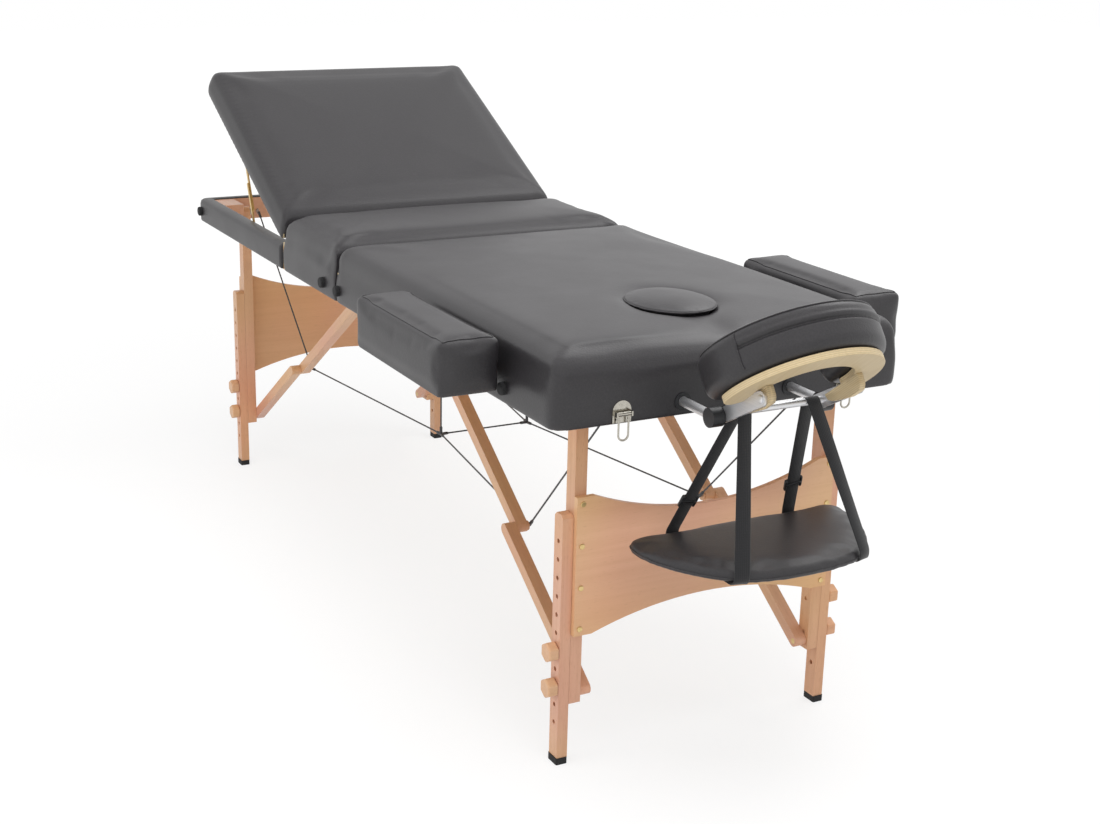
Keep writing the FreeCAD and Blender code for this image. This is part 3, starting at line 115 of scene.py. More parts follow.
# %% [markdown]
# ## Light and floor
# The photograph is a studio shot on white: a broad light over the table, some light from the left, and a
# white surround that the metal and the pads mirror. The surround is white to the camera and in reflections,
# and gives only a plain level of light to everything else. The floor keeps a faint shadow near the table.

# %% Light the studio
world = bpy.data.worlds.new("studio")
scene.world = world
world.use_nodes = True
tree = world.node_tree
tree.nodes.clear()
path = add(tree, "LightPath")
seen = add(tree, "Math", {"operation": "ADD", "use_clamp": True}, {
    0: path.outputs["Is Camera Ray"], 1: path.outputs["Is Glossy Ray"]})
seen = add(tree, "Math", {"operation": "ADD", "use_clamp": True}, {
    0: seen.outputs[0], 1: path.outputs["Is Transmission Ray"]})
level_of_light = add(tree, "MapRange", None, {"Value": seen.outputs[0], "To Min": 0.5, "To Max": 1.0})
surround = add(tree, "Background", None, {"Color": linear("#ffffff"), "Strength": level_of_light.outputs[0]})
add(tree, "OutputWorld", None, {"Surface": surround.outputs[0]})


def soft_light(name, place, aim, size, power, mirrored=False):
    """A square area light at a place, turned to a point. Only a mirrored one shows in shiny surfaces."""
    lamp = bpy.data.lights.new(name, "AREA")
    lamp.size = size
    lamp.energy = power
    holder = bpy.data.objects.new(name, lamp)
    turn = (Vector(aim) - Vector(place)).to_track_quat("-Z", "Y").to_matrix().to_4x4()
    holder.matrix_world = Matrix.Translation(Vector(place)) @ turn
    holder.visible_glossy = mirrored
    scene.collection.objects.link(holder)


soft_light("overhead", (0.6, -0.2, 2.9), aim=(0.4, 0.0, 0.6), size=2.6, power=66)
soft_light("left_side", (0.2, -3.2, 1.3), aim=(0.0, 0.0, 0.5), size=2.0, power=22)
soft_light("head_end", (3.0, -0.5, 2.3), aim=(0.8, 0.0, 0.6), size=1.4, power=12)
soft_light("far_window", (0.1, 1.3, 2.4), aim=(0.8, 0.0, 0.75), size=1.3, power=14, mirrored=True)

FLOOR_HALF, FLOOR_Z = 14.0, -0.0005
floor_mesh = bpy.data.meshes.new("floor")
corners = [(x * FLOOR_HALF, y * FLOOR_HALF, FLOOR_Z) for x, y in ((-1, -1), (1, -1), (1, 1), (-1, 1))]
floor_mesh.from_pydata(corners, [], [(0, 1, 2, 3)])
floor = bpy.data.objects.new("floor", floor_mesh)
scene.collection.objects.link(floor)
paper = bpy.data.materials.new("white_studio_floor")
paper.use_nodes = True
tree = paper.node_tree
tree.nodes.clear()
path = add(tree, "LightPath")
matt = add(tree, "BsdfDiffuse", None, {"Color": linear("#f2f2f2")})
glow = add(tree, "Emission", None, {"Color": linear("#ffffff"), "Strength": 1.06})
seen = add(tree, "Math", {"operation": "MAXIMUM"}, {
    0: path.outputs["Is Camera Ray"], 1: path.outputs["Is Glossy Ray"]})
away = add(tree, "VectorMath", {"operation": "LENGTH"}, {0: add(tree, "TexCoord").outputs["Object"]})
share = add(tree, "MapRange", None, {"Value": away.outputs["Value"], "From Min": 1.4, "From Max": 3.6,
                                     "To Min": 0.72, "To Max": 1.0})
seen = add(tree, "Math", {"operation": "MULTIPLY"}, {0: seen.outputs[0], 1: share.outputs[0]})
shade = add(tree, "MixShader", None, {0: seen.outputs[0], 1: matt.outputs[0], 2: glow.outputs[0]})
add(tree, "OutputMaterial", None, {"Surface": shade.outputs[0]})
floor_mesh.materials.append(paper)
scene.view_settings.view_transform = "Standard"
print("studio: 4 lights and a floor")


# %% [markdown]
# ## Finishes
# Each finish starts from the real material: how it is made and what that gives the eye. Patterns are laid
# on the piece's own coordinates, and their sizes start from the real ones, in millimetres.


# %% Start a finish
MIX = {"data_type": "RGBA"}
MULTIPLY = {"data_type": "RGBA", "blend_type": "MULTIPLY"}
SOFT_LIGHT = {"data_type": "RGBA", "blend_type": "SOFT_LIGHT"}
WAVES = 3.2 * MM  # a wave texture of scale 1 has 3.2 bands in a metre


def finish(name, **values):
    """A new material with one shader. Values that are the same all over are set on the shader itself."""
    material = bpy.data.materials.new(name)
    material.use_nodes = True
    tree = material.node_tree
    tree.nodes.clear()
    values = {key.replace("_", " "): value for key, value in values.items()}
    shader = add(tree, "BsdfPrincipled", None, values)
    add(tree, "OutputMaterial", None, {"Surface": shader.outputs[0]})
    return material, tree, shader


def turned(tree, axis, along):
    """Coordinates of the piece, turned so that a pattern laid along an axis runs along a direction."""
    turn = Vector(axis).rotation_difference(Vector(along)).inverted().to_euler()
    spot = add(tree, "TexCoord").outputs["Object"]
    return add(tree, "Mapping", None, {"Vector": spot, "Rotation": turn}).outputs[0]


def scales(*sizes):
    """Scales of a pattern that has these sizes along x, y and z, in millimetres."""
    return tuple(1 / (size * MM) for size in sizes)


def surface(tree, shader, colour, pattern, rough, relief, strength, depth):
    """Link a colour, a roughness that follows a pattern, and a relief with its depth in millimetres."""
    gloss = add(tree, "MapRange", None, {"Value": pattern, "To Min": rough[0], "To Max": rough[1]})
    bump = add(tree, "Bump", None, {"Height": relief, "Strength": strength, "Distance": depth * MM})
    tree.links.new(colour, shader.inputs["Base Color"])
    tree.links.new(gloss.outputs[0], shader.inputs["Roughness"])
    tree.links.new(bump.outputs[0], shader.inputs["Normal"])
    return bump


print("finish helpers ready")

# %% [markdown]
# ### Charcoal vinyl
# The pads are covered in knitted cloth with a soft polyurethane skin, embossed to look like calf leather.
# It is dark grey with a satin sheen, a pebbled grain of about 1.5 mm, and slow changes of tone where it is
# stretched over the foam. The grain is drawn at 3 mm so that it shows from this distance.

# %% Charcoal vinyl
PEBBLE = 3 * MM
vinyl, tree, shader = finish("charcoal_vinyl", Specular_IOR_Level=0.5, Coat_Weight=0.12, Coat_Roughness=0.35)
spot = add(tree, "TexCoord").outputs["Object"]
tone = add(tree, "TexNoise", None, {
    "Vector": spot, "Scale": 1 / (110 * MM), "Detail": 3.0, "Roughness": 0.55}).outputs[0]
pebble = add(tree, "TexVoronoi", {"feature": "SMOOTH_F1"}, {
    "Vector": spot, "Scale": 1 / PEBBLE, "Smoothness": 0.6}).outputs["Distance"]
fine = add(tree, "TexNoise", None, {"Vector": spot, "Scale": 1 / (1.1 * MM), "Detail": 2.0}).outputs[0]
dye = add(tree, "Mix", MIX, {0: tone, 6: linear("#262427"), 7: linear("#343234")}).outputs[2]
# Painted shade: the colour is multiplied by the pebble grain's own height, so the hollows of the grain are
# painted darker.
pebble_hollow_shade = add(tree, "Mix", MULTIPLY, {0: 0.35, 6: dye, 7: pebble}).outputs[2]
coarse = surface(tree, shader, pebble_hollow_shade, tone, (0.36, 0.52), pebble, 0.22, 0.8)
fine = add(tree, "Bump", None, {"Height": fine, "Strength": 0.12, "Distance": 0.3 * MM})
tree.links.new(fine.outputs[0], coarse.inputs["Normal"])
print("made", vinyl.name)


# %% [markdown]
# ### Beech
# Legs, rails, braces and panels are steamed beech under clear lacquer: pinkish brown, with soft streaks
# along the grain and short dark flecks. The grain has to run along each piece, so the same network is made
# for each direction, with its coordinates turned and stretched that way.

# %% Beech
def beech(name, along, light="#e0b08c", dark="#d09a76", fleck="#b17b59"):
    """Beech with its grain along a direction. Streaks are 250 by 9 mm, and flecks 14 by 1.6 mm."""
    material, tree, shader = finish(name, Specular_IOR_Level=0.45, Coat_Weight=0.2, Coat_Roughness=0.25)
    spot = turned(tree, (1, 0, 0), along)
    streak_at = add(tree, "Mapping", None, {"Vector": spot, "Scale": scales(250, 9, 9)}).outputs[0]
    streak = add(tree, "TexNoise", None, {
        "Vector": streak_at, "Scale": 1.0, "Detail": 4.0, "Distortion": 0.4}).outputs[0]
    fleck_at = add(tree, "Mapping", None, {"Vector": spot, "Scale": scales(14, 1.6, 1.6)}).outputs[0]
    dash = add(tree, "TexNoise", None, {"Vector": fleck_at, "Scale": 1.0, "Detail": 1.0}).outputs[0]
    board = add(tree, "TexNoise", None, {"Vector": spot, "Scale": 1 / (300 * MM), "Detail": 1.0})
    body = add(tree, "Mix", MIX, {0: streak, 6: linear(light), 7: linear(dark)}).outputs[2]
    body = add(tree, "Mix", SOFT_LIGHT, {0: 0.35, 6: body, 7: board.outputs["Color"]}).outputs[2]
    few = add(tree, "MapRange", None, {"Value": dash, "From Min": 0.62, "From Max": 0.74, "To Max": 0.32})
    body = add(tree, "Mix", MIX, {0: few.outputs[0], 6: body, 7: linear(fleck)}).outputs[2]
    surface(tree, shader, body, streak, (0.34, 0.5), dash, 0.08, 0.4)
    return material


BRACE_FALL = math.atan2(521, 772)
beech_long = beech("beech_along_x", (1, 0, 0))
beech_upright = beech("beech_along_z", (0, 0, 1))
beech_across = beech("beech_along_y", (0, 1, 0))
beech_panel = beech("beech_panel", (0, 1, 0), light="#e5b78a", dark="#d9a87c", fleck="#c2926a")
beech_head_brace = beech("beech_head_brace", (math.cos(BRACE_FALL), 0, -math.sin(BRACE_FALL)))
beech_foot_brace = beech("beech_foot_brace", (math.cos(BRACE_FALL), 0, math.sin(BRACE_FALL)))
print("made 6 kinds of beech")

# %% [markdown]
# ### Plywood
# Decks and boards are pale birch plywood. The face has fine long grain, and a cut edge shows its plies as
# light and dark lines about 1.5 mm thick, stacked square to the sheet. The stack follows the tilt of each
# board.


# %% Plywood
def plywood(name, normal):
    """Birch plywood: plies are bands along the sheet's normal, 3 mm for a light and a dark one."""
    material, tree, shader = finish(name, Specular_IOR_Level=0.4)
    spot = turned(tree, (0, 0, 1), normal)
    grain_at = add(tree, "Mapping", None, {"Vector": spot, "Scale": scales(120, 4, 4)}).outputs[0]
    grain = add(tree, "TexNoise", None, {"Vector": grain_at, "Scale": 1.0, "Detail": 4.0}).outputs[0]
    ply = add(tree, "TexWave", {"bands_direction": "Z"}, {
        "Vector": spot, "Scale": 1 / (3 * WAVES), "Distortion": 0.25, "Detail": 1.0}).outputs["Color"]
    body = add(tree, "Mix", MIX, {0: grain, 6: linear("#e2cfa9"), 7: linear("#cfb78c")}).outputs[2]
    body = add(tree, "Mix", MULTIPLY, {0: 0.22, 6: body, 7: ply}).outputs[2]
    surface(tree, shader, body, grain, (0.42, 0.6), grain, 0.1, 0.4)
    return material


BACK_LEAN = math.radians(27)
CRADLE_LEAN = math.radians(37)
deck_ply = plywood("birch_plywood_level", (0, 0, 1))
back_ply = plywood("birch_plywood_backrest", (math.sin(BACK_LEAN), 0, math.cos(BACK_LEAN)))
cradle_ply = plywood("birch_plywood_cradle", (-math.sin(CRADLE_LEAN), 0, math.cos(CRADLE_LEAN)))
print("made 3 tilts of plywood")

# %% [markdown]
# ### Metals
# Zinc plated steel is slightly cloudy, the nickel of the latches is bright, the aluminium is drawn and
# carries fine lines along its length, and the brass of the stays and screws is warm and a little dull. All
# are metals that differ in colour, in how rough they are, and in the direction of their fine lines.


# %% Metals
def metal(name, light, dark, rough, lines):
    """A metal whose tone and roughness change along fine lines, which have a size along x, y and z."""
    material, tree, shader = finish(name, Metallic=1.0)
    spot = add(tree, "TexCoord").outputs["Object"]
    line_at = add(tree, "Mapping", None, {"Vector": spot, "Scale": scales(*lines)}).outputs[0]
    line = add(tree, "TexNoise", None, {"Vector": line_at, "Scale": 1.0, "Detail": 3.0}).outputs[0]
    tone = add(tree, "Mix", MIX, {0: line, 6: linear(light), 7: linear(dark)}).outputs[2]
    surface(tree, shader, tone, line, (rough - 0.08, rough + 0.1), line, 0.06, 0.2)
    return material


zinc_steel = metal("zinc_plated_steel", "#b9b8b4", "#8f8e8b", 0.36, (3, 3, 3))
nickel = metal("nickel_plated_steel", "#c8c4ba", "#a5a197", 0.2, (6, 6, 6))
aluminium = metal("drawn_aluminium", "#f0f0f1", "#d2d3d6", 0.46, (60, 60, 0.6))
brass = metal("lacquered_brass", "#e6cf9c", "#c5a566", 0.34, (4, 4, 4))
print("made 4 metals")

# %% [markdown]
# ### Black parts
# Rubber feet and bumpers are matt, the moulded hubs and buckles have a light sheen with a fine spark
# texture, and the webbing is a woven ribbon whose ribs run across it. The ribs follow the ribbon's own map,
# in which v counts metres along it.


# %% Black parts
def black(name, light, dark, rough, grit):
    """A black moulding with a grit texture of a given size in millimetres."""
    material, tree, shader = finish(name, Specular_IOR_Level=0.45)
    spot = add(tree, "TexCoord").outputs["Object"]
    grain = add(tree, "TexNoise", None, {"Vector": spot, "Scale": 1 / (grit * MM), "Detail": 3.0}).outputs[0]
    dust = add(tree, "TexNoise", None, {"Vector": spot, "Scale": 1 / (30 * MM), "Detail": 3.0}).outputs[0]
    tone = add(tree, "Mix", MIX, {0: dust, 6: linear(dark), 7: linear(light)}).outputs[2]
    surface(tree, shader, tone, grain, (rough - 0.1, rough + 0.1), grain, 0.15, 0.3)
    return material


rubber = black("black_rubber", "#2a2a2b", "#171718", 0.8, 1.2)
plastic = black("black_nylon_moulding", "#26272a", "#141416", 0.42, 0.9)
cable_coat = black("coated_steel_cable", "#47474a", "#2b2b2d", 0.38, 1.0)

RIB, WARP = 2.4, 3
webbing, tree, shader = finish("black_polypropylene_webbing", Specular_IOR_Level=0.35, Sheen_Weight=0.25)
spot = add(tree, "UVMap", {"uv_map": "ribbon"}).outputs[0]
ribs = add(tree, "TexWave", {"bands_direction": "Y"}, {
    "Vector": spot, "Scale": 1 / (RIB * WAVES), "Distortion": 0.4}).outputs["Fac"]
warp = add(tree, "TexWave", {"bands_direction": "X"}, {
    "Vector": spot, "Scale": 1 / (WARP * WAVES), "Distortion": 0.3}).outputs["Fac"]
weave = add(tree, "Math", {"operation": "MULTIPLY"}, {0: ribs, 1: warp}).outputs[0]
tone = add(tree, "Mix", MIX, {0: weave, 6: linear("#131315"), 7: linear("#2c2c2f")}).outputs[2]
surface(tree, shader, tone, weave, (0.6, 0.8), weave, 0.4, 0.6)
print("made", rubber.name, plastic.name, cable_coat.name, webbing.name)

# %% [markdown]
# ## Dress the rigid pieces
# The solids of the frame keep their shape, and each takes its finish here. Names of the nodes say what they
# are, so a short table of words is enough.

# %% Dress the rigid pieces
FINISHES = [
    (beech_upright, "upper_legs lower_leg"),
    (beech_panel, "end_panel"),
    (beech_head_brace, "head_upper_links head_lower_links"),
    (beech_foot_brace, "foot_upper_links foot_lower_links"),
    (beech_long, "rails frame_blocks"),
    (beech_across, "knobs armrest_dowels"),
    (back_ply, "backrest_board"),
    (cradle_ply, "cradle_board"),
    (deck_ply, "deck"),
    (rubber, "rubber_foot bumpers"),
    (nickel, "latch"),
    (brass, "stay leg_screws"),
    (plastic, "headrest_hubs bushes"),
    (aluminium, "headrest_dowels headrest_plates"),
    (zinc_steel, "bolts hinge pins hooks fittings"),
]


def set_finish(thing, material):
    thing.data.materials.clear()
    thing.data.materials.append(material)


dressed = 0
for name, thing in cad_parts.items():
    for material, words in FINISHES:
        if any(word in name for word in words.split()):
            set_finish(thing, material)
            dressed += 1
            break
print("dressed", dressed, "rigid nodes")

# %% [markdown]
# ## Surfaces from numbers
# A new piece is a grid of points: one parameter runs round it and the other along it. The functions below
# join such a grid into faces, close its ends, and hang the result on a body of the frame.


# %% Grids to meshes
def grid_faces(rows, columns):
    """Quads between neighbouring rows of a grid whose columns close into a ring."""
    i = np.arange(rows - 1)[:, None]
    j = np.arange(columns)[None, :]
    k = (j + 1) % columns
    quads = [i * columns + j, i * columns + k, (i + 1) * columns + k, (i + 1) * columns + j]
    return np.stack(quads, axis=-1).reshape(-1, 4)


def read(items, name, width, kind):
    """One value of each item of a mesh, as an array with a row for each item."""
    flat = np.empty(len(items) * width, kind)
    items.foreach_get(name, flat)
    return flat.reshape(-1, width)


def points_of(mesh):
    return read(mesh.vertices, "co", 3, float)


def normals_of(mesh):
    return read(mesh.vertex_normals, "vector", 3, float)


def corners_of(mesh):
    """Number of the point at each corner of each face."""
    return read(mesh.loops, "vertex_index", 1, int).ravel()


def shade_smooth(mesh, smooth):
    mesh.polygons.foreach_set("use_smooth", np.full(len(mesh.polygons), smooth))


def new_thing(name, points, faces, material):
    """An object at the origin from points in metres and a list of faces. Six times its volume is the sum of
    a . (b x c) over its triangles, so when the sum is negative the faces look inwards and are turned."""
    mesh = bpy.data.meshes.new(name)
    mesh.from_pydata(points.tolist(), [], faces)
    mesh.validate()
    mesh.calc_loop_triangles()
    a, b, c = points[read(mesh.loop_triangles, "vertices", 3, int)].transpose(1, 0, 2)
    if np.einsum("ij,ij->", a, np.cross(b, c)) < 0:
        mesh.flip_normals()
    mesh.materials.append(material)
    shade_smooth(mesh, True)
    thing = bpy.data.objects.new(name, mesh)
    scene.collection.objects.link(thing)
    return thing


def closed_tube(name, rings, material):
    """A tube through an array of rings (rings, points, 3). A middle point closes each of its ends."""
    rows, columns = rings.shape[:2]
    points = np.vstack([rings.reshape(-1, 3), rings[0].mean(0), rings[-1].mean(0)])
    faces = grid_faces(rows, columns).tolist()
    j = np.arange(columns)
    k = (j + 1) % columns
    first, last = rows * columns, rows * columns + 1
    faces += np.stack([k, j, np.full(columns, first)], axis=-1).tolist()
    top = (rows - 1) * columns
    faces += np.stack([top + j, top + k, np.full(columns, last)], axis=-1).tolist()
    return new_thing(name, points, faces, material)


def join(name, parts, material):
    """One object from several, which are removed."""
    points, faces, base = [], [], 0
    for part in parts:
        points.append(points_of(part.data))
        starts = read(part.data.polygons, "loop_start", 1, int).ravel()
        faces += [face.tolist() for face in np.split(base + corners_of(part.data), starts[1:])]
        base += len(part.data.vertices)
        bpy.data.objects.remove(part)
    return new_thing(name, np.vstack(points), faces, material)


def move_points(mesh, points):
    mesh.vertices.foreach_set("co", points.ravel())
    mesh.update()


def bake(thing):
    """Put what the modifiers make into the mesh itself."""
    graph = bpy.context.evaluated_depsgraph_get()
    made = bpy.data.meshes.new_from_object(thing.evaluated_get(graph))
    made.name = thing.name
    thing.modifiers.clear()
    thing.data = made


def smooth_step(value, low, high):
    """0 below low, 1 above high, and 3 t^2 - 2 t^3 between them."""
    t = np.clip((value - low) / (high - low), 0, 1)
    return t * t * (3 - 2 * t)


def turn_xz(x, z, angle):
    """Turn x and z by an angle: (x cos a - z sin a, x sin a + z cos a)."""
    c, s = math.cos(angle), math.sin(angle)
    return c * x - s * z, s * x + c * z


def turns(count):
    """Even angles round a circle."""
    return np.linspace(0, 2 * math.pi, count + 1)[:-1]


def at_height(ring, z):
    """A flat ring of points, put at a height."""
    return np.column_stack([ring, np.full(len(ring), z)])


def run_of(path):
    """Length along a path, up to each of its points."""
    return np.concatenate([[0], np.cumsum(np.linalg.norm(np.diff(path, axis=0), axis=1))])


def spread(path, count):
    """A path through the same places in count even steps."""
    path = np.array(path, float)
    run = run_of(path)
    even = np.linspace(0, run[-1], count + 1)
    return np.stack([np.interp(even, run, path[:, k]) for k in range(path.shape[1])], axis=-1)


RING_POINTS = 160


def even_ring(parts):
    """A closed ring from several stretches, with its points at even steps."""
    ring = np.vstack(parts)
    return spread(np.vstack([ring, ring[:1]]), RING_POINTS)[:-1]


print("mesh helpers ready")

# %% [markdown]
# ## Pads
# A pad is foam under a tight vinyl cover. Its first form is a stack of rings: the outline of the pad, drawn
# in a little at the bottom, rolled over a round top edge, and closed over a crowned top. A voxel remesh
# gives it an even skin, and a short cloth simulation blows that skin up as foam does, with each point held
# near its start. The skin bulges between its edges and goes slack at the corners, which is hard to draw by
# hand.


# %% The first form of a pad
def round_rectangle(x_low, x_high, half, radii, inset):
    """Ring round a rectangle drawn in by inset. Its corners are quarter circles, drawn in as well."""
    corners = [(x_high, -half, radii[1], -90), (x_high, half, radii[1], 0), (x_low, half, radii[0], 90),
               (x_low, -half, radii[0], 180)]
    centre_x = (x_low + x_high) / 2
    ring = []
    for x, y, radius, start in corners:
        r = max(radius - inset, 0.5)
        turn = np.radians(start + np.linspace(0, 90, 9))
        cx = x - math.copysign(inset + r, x - centre_x)
        cy = y - math.copysign(inset + r, y)
        ring.append(np.stack([cx + r * np.cos(turn), cy + r * np.sin(turn)], axis=-1))
    return even_ring(ring)


def loaf(outline, low, top, half, edge, draw, crown, hollow_to=None, wall=18):
    """Rings from the bottom to the middle of the top, in millimetres. Up the side a ring is drawn in by
    draw (1 - h)^2, over the edge by r (1 - cos a) at height r sin a, and over the top the height grows by
    crown (1 - k^2), where k goes from 1 at the edge to 0 in the middle. A pad that wraps its frame is
    hollow: its rings start in the middle of the ceiling and come down inside a wall."""
    rings = []
    if hollow_to is not None:
        rings += [(half - (half - wall) * k, hollow_to) for k in np.linspace(0.02, 1, 12)]
        rings += [(wall, hollow_to + (low - hollow_to) * h) for h in np.linspace(0.2, 1, 5)]
    for h in np.linspace(0, 1, 8):
        rings.append((draw * (1 - h) ** 2, low + (top - edge - low) * h))
    for a in np.radians(np.linspace(10, 90, 9)):
        rings.append((edge * (1 - math.cos(a)), top - edge + edge * math.sin(a)))
    for k in np.linspace(0.93, 0.02, 16):
        rings.append((half - (half - edge) * k, top + crown * (1 - k * k)))
    return np.array([at_height(outline(inset), height) for inset, height in rings])


def roll_end(rings, at, inwards, radius, top):
    """Lower the top near one end so that it rolls over: z <= top - r + sqrt(r^2 - (r - e)^2)."""
    e = np.clip((rings[..., 0] - at) * inwards, 0, radius)
    limit = top - radius + np.sqrt(radius ** 2 - (radius - e) ** 2)
    rings[..., 2] = np.where(e < radius, np.minimum(rings[..., 2], limit), rings[..., 2])
    return rings


def even_skin(thing, voxel):
    """Have a thing remeshed into even faces of a size in millimetres."""
    skin = thing.modifiers.new("skin", "REMESH")
    skin.mode = "VOXEL"
    skin.voxel_size = voxel * MM


def hollow(thing, tool, voxel):
    """Give a thing an even skin, take another closed shape out of it, and remove that shape."""
    even_skin(thing, voxel)
    knife = thing.modifiers.new("hollow", "BOOLEAN")
    knife.operation = "DIFFERENCE"
    knife.object = tool
    knife.solver = "EXACT"
    bake(thing)
    bpy.data.objects.remove(tool)


def calm(mesh, values, rounds):
    """Average values with their neighbours along the edges, which takes fine creases out of a movement."""
    ends = read(mesh.edges, "vertices", 2, int)
    a, b = ends.T
    count = np.bincount(ends.ravel(), minlength=len(values))[:, None]
    for _ in range(rounds):
        total = np.zeros_like(values)
        np.add.at(total, a, values[b])
        np.add.at(total, b, values[a])
        values = (values + total / count) / 2
    return values


def free_above(low, high):
    """How free points are by their height in millimetres: held below low and free above high."""
    return lambda points: smooth_step(points[:, 2] / MM, low, high)


BLOW_STEPS = 20


def puff(thing, voxel, cap, hold, rounds=4):
    """Remesh a pad, blow it up as cloth, and move each point by no more than cap millimetres. Hold
    gives how free each point is, from 0 to 1. The movement is calmed a little, because a new cover
    has few creases."""
    even_skin(thing, voxel)
    even = thing.modifiers.new("even", "SMOOTH")
    even.factor = 0.5
    even.iterations = 2
    bake(thing)
    start = points_of(thing.data)
    free = hold(start)
    pin = thing.vertex_groups.new(name="held")
    pin.add(np.flatnonzero(free < 0.05).tolist(), 1.0, "REPLACE")
    cloth = thing.modifiers.new("cover", "CLOTH")
    cloth.settings.quality = 4
    cloth.settings.use_pressure = True
    cloth.settings.uniform_pressure_force = 4.0
    cloth.settings.effector_weights.gravity = 0.0
    cloth.settings.vertex_group_mass = "held"
    cloth.collision_settings.use_collision = False
    for step in range(1, BLOW_STEPS + 1):
        scene.frame_set(step)
    graph = bpy.context.evaluated_depsgraph_get()
    shift = points_of(thing.evaluated_get(graph).data) - start
    thing.modifiers.clear()
    thing.vertex_groups.clear()
    scene.frame_set(1)
    shift = calm(thing.data, shift, rounds)
    size = np.linalg.norm(shift, axis=1, keepdims=True) + 1e-9
    shift = shift / size * cap * MM * np.tanh(size / (cap * MM))
    move_points(thing.data, start + shift * free[:, None])
    finer = thing.modifiers.new("finer", "SUBSURF")
    finer.levels = finer.render_levels = 1
    bake(thing)
    shade_smooth(thing.data, True)
    set_finish(thing, vinyl)
    furthest = round(float(np.abs(shift).max() / MM), 1)
    print(thing.name, len(thing.data.polygons), "faces, moved", furthest, "mm")


def square_up(thing, sign):
    """Draw the upright edges beside the fold out to it, because the remesh rounds them more than a sewn
    cover is, and end the skirt level with the frame's underside, so that the two halves can close."""
    points = points_of(thing.data)
    points[:, 2] = np.maximum(points[:, 2], FRAME_LOW * MM)
    x, y = sign * (points[:, 0] / MM - FOLD), np.abs(points[:, 1] / MM)
    beside = smooth_step(y, PAD_HALF - 18, PAD_HALF - 5)
    pull = (x - 1) * 0.9 * beside * (1 - smooth_step(x, 9, 20))
    sunk = (x - pull > FOLD_GAP) & (x < 10) & (points[:, 2] / MM < DECK_TOP + 16)
    points[:, 0] -= sign * np.where(sunk, x - FOLD_GAP, pull) * MM
    move_points(thing.data, points)


def place_mm(rings):
    """Millimetres from the fold to metres in the frame."""
    return (rings + np.array([FOLD, 0, 0])) * MM


def stands_for(thing, body, *nodes_replaced, fill=None, slot="vinyl"):
    """Hang a thing on a body of the frame, in place of the solids that it stands for."""
    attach(thing, body)
    if nodes_replaced:
        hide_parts(*nodes_replaced)


def frames(path, out):
    """Directions along a path, beside it and out of it, all square to each other."""
    along = np.gradient(path, axis=0)
    along /= np.linalg.norm(along, axis=1, keepdims=True)
    side = np.cross(along, out)
    side /= np.linalg.norm(side, axis=1, keepdims=True)
    return along, side, np.cross(side, along)


def seam(name, cover, path, radius, body):
    """A sewn welt: a thin tube along a path laid on a cover, sunk in by half its radius."""
    skin = BVHTree.FromObject(cover, bpy.context.evaluated_depsgraph_get())
    hits = [skin.find_nearest(Vector(spot)) for spot in place_mm(path)]
    spots = np.array([hit[0] for hit in hits])
    along, side, out = frames(spots, np.array([hit[1] for hit in hits]))
    turn = turns(8)
    r = radius * MM
    round_it = out[:, None] * np.cos(turn)[:, None] + side[:, None] * np.sin(turn)[:, None]
    rings = (spots + out * r * 0.5)[:, None] + r * round_it
    welt = closed_tube(name, rings, vinyl)
    stands_for(welt, body)
    print(name, round(float(run_of(spots)[-1] / MM)), "mm")


def all_round(ring, height):
    """A closed ring at one height as a path whose last points lie over its first ones."""
    return at_height(np.vstack([ring, ring[:3]]), height)


print("pad helpers ready")

# %% [markdown]
# ### Head pad
# The long pad of the head half wraps the frame, so it is hollow underneath, where rails and deck sit, and
# it has the oval breathing hole. Its head end rolls over with a larger radius than its sides. The part that
# the frame holds doesn't swell.

# %% Head pad
DECK_TOP = 684
BELOW_PAD, PAD_LOW, FRAME_LOW = 600, 620, 624.2
PAD_TOP, ABOVE_PAD = 743.5, 800
PAD_HALF, FOLD_GAP = 340, 2
HEAD_END = 936
FACE_AT, FACE_LONG, FACE_WIDE = 720, 82, 68
over_deck = free_above(DECK_TOP - 30, DECK_TOP + 15)


def wrap_hold(points):
    """The frame holds the points under the deck, and the hole keeps its shape."""
    free = over_deck(points)
    away = np.hypot((points[:, 0] / MM - FOLD - FACE_AT) / FACE_LONG, points[:, 1] / MM / FACE_WIDE)
    return free * smooth_step(away, 1.0, 1.25)


def face_oval(grow):
    """Oval of the breathing hole, grown by some millimetres."""
    turn = turns(64)
    return np.column_stack([FACE_AT + np.cos(turn) * (FACE_LONG + grow), np.sin(turn) * (FACE_WIDE + grow)])


outline = partial(round_rectangle, 1, HEAD_END, PAD_HALF, (3, 19))
rings = loaf(outline, PAD_LOW, PAD_TOP, half=PAD_HALF, edge=30, draw=1, crown=10, hollow_to=DECK_TOP)
rings = roll_end(rings, HEAD_END, inwards=-1, radius=48, top=PAD_TOP + 3)
head_pad = closed_tube("head_pad_cover", place_mm(rings), vinyl)
bore = np.array([at_height(face_oval(0), z) for z in (BELOW_PAD, ABOVE_PAD)])
hollow(head_pad, closed_tube("face_bore", place_mm(bore), vinyl), voxel=6)
puff(head_pad, voxel=8, cap=7, hold=wrap_hold, rounds=14)
square_up(head_pad, 1)
stands_for(head_pad, "head_section", "head_pad", fill=0.85)

# %% [markdown]
# ### Seat pad and backrest pad
# The seat pad is a shorter pad of the same make, rolled over a large radius where the backrest starts.
# Under that edge it is open between the rails, because the folded legs lie there. The backrest pad lies on
# its board, so it is made level and then turned with the board about the backrest hinge. It covers the edge
# of the board and ends just under it.

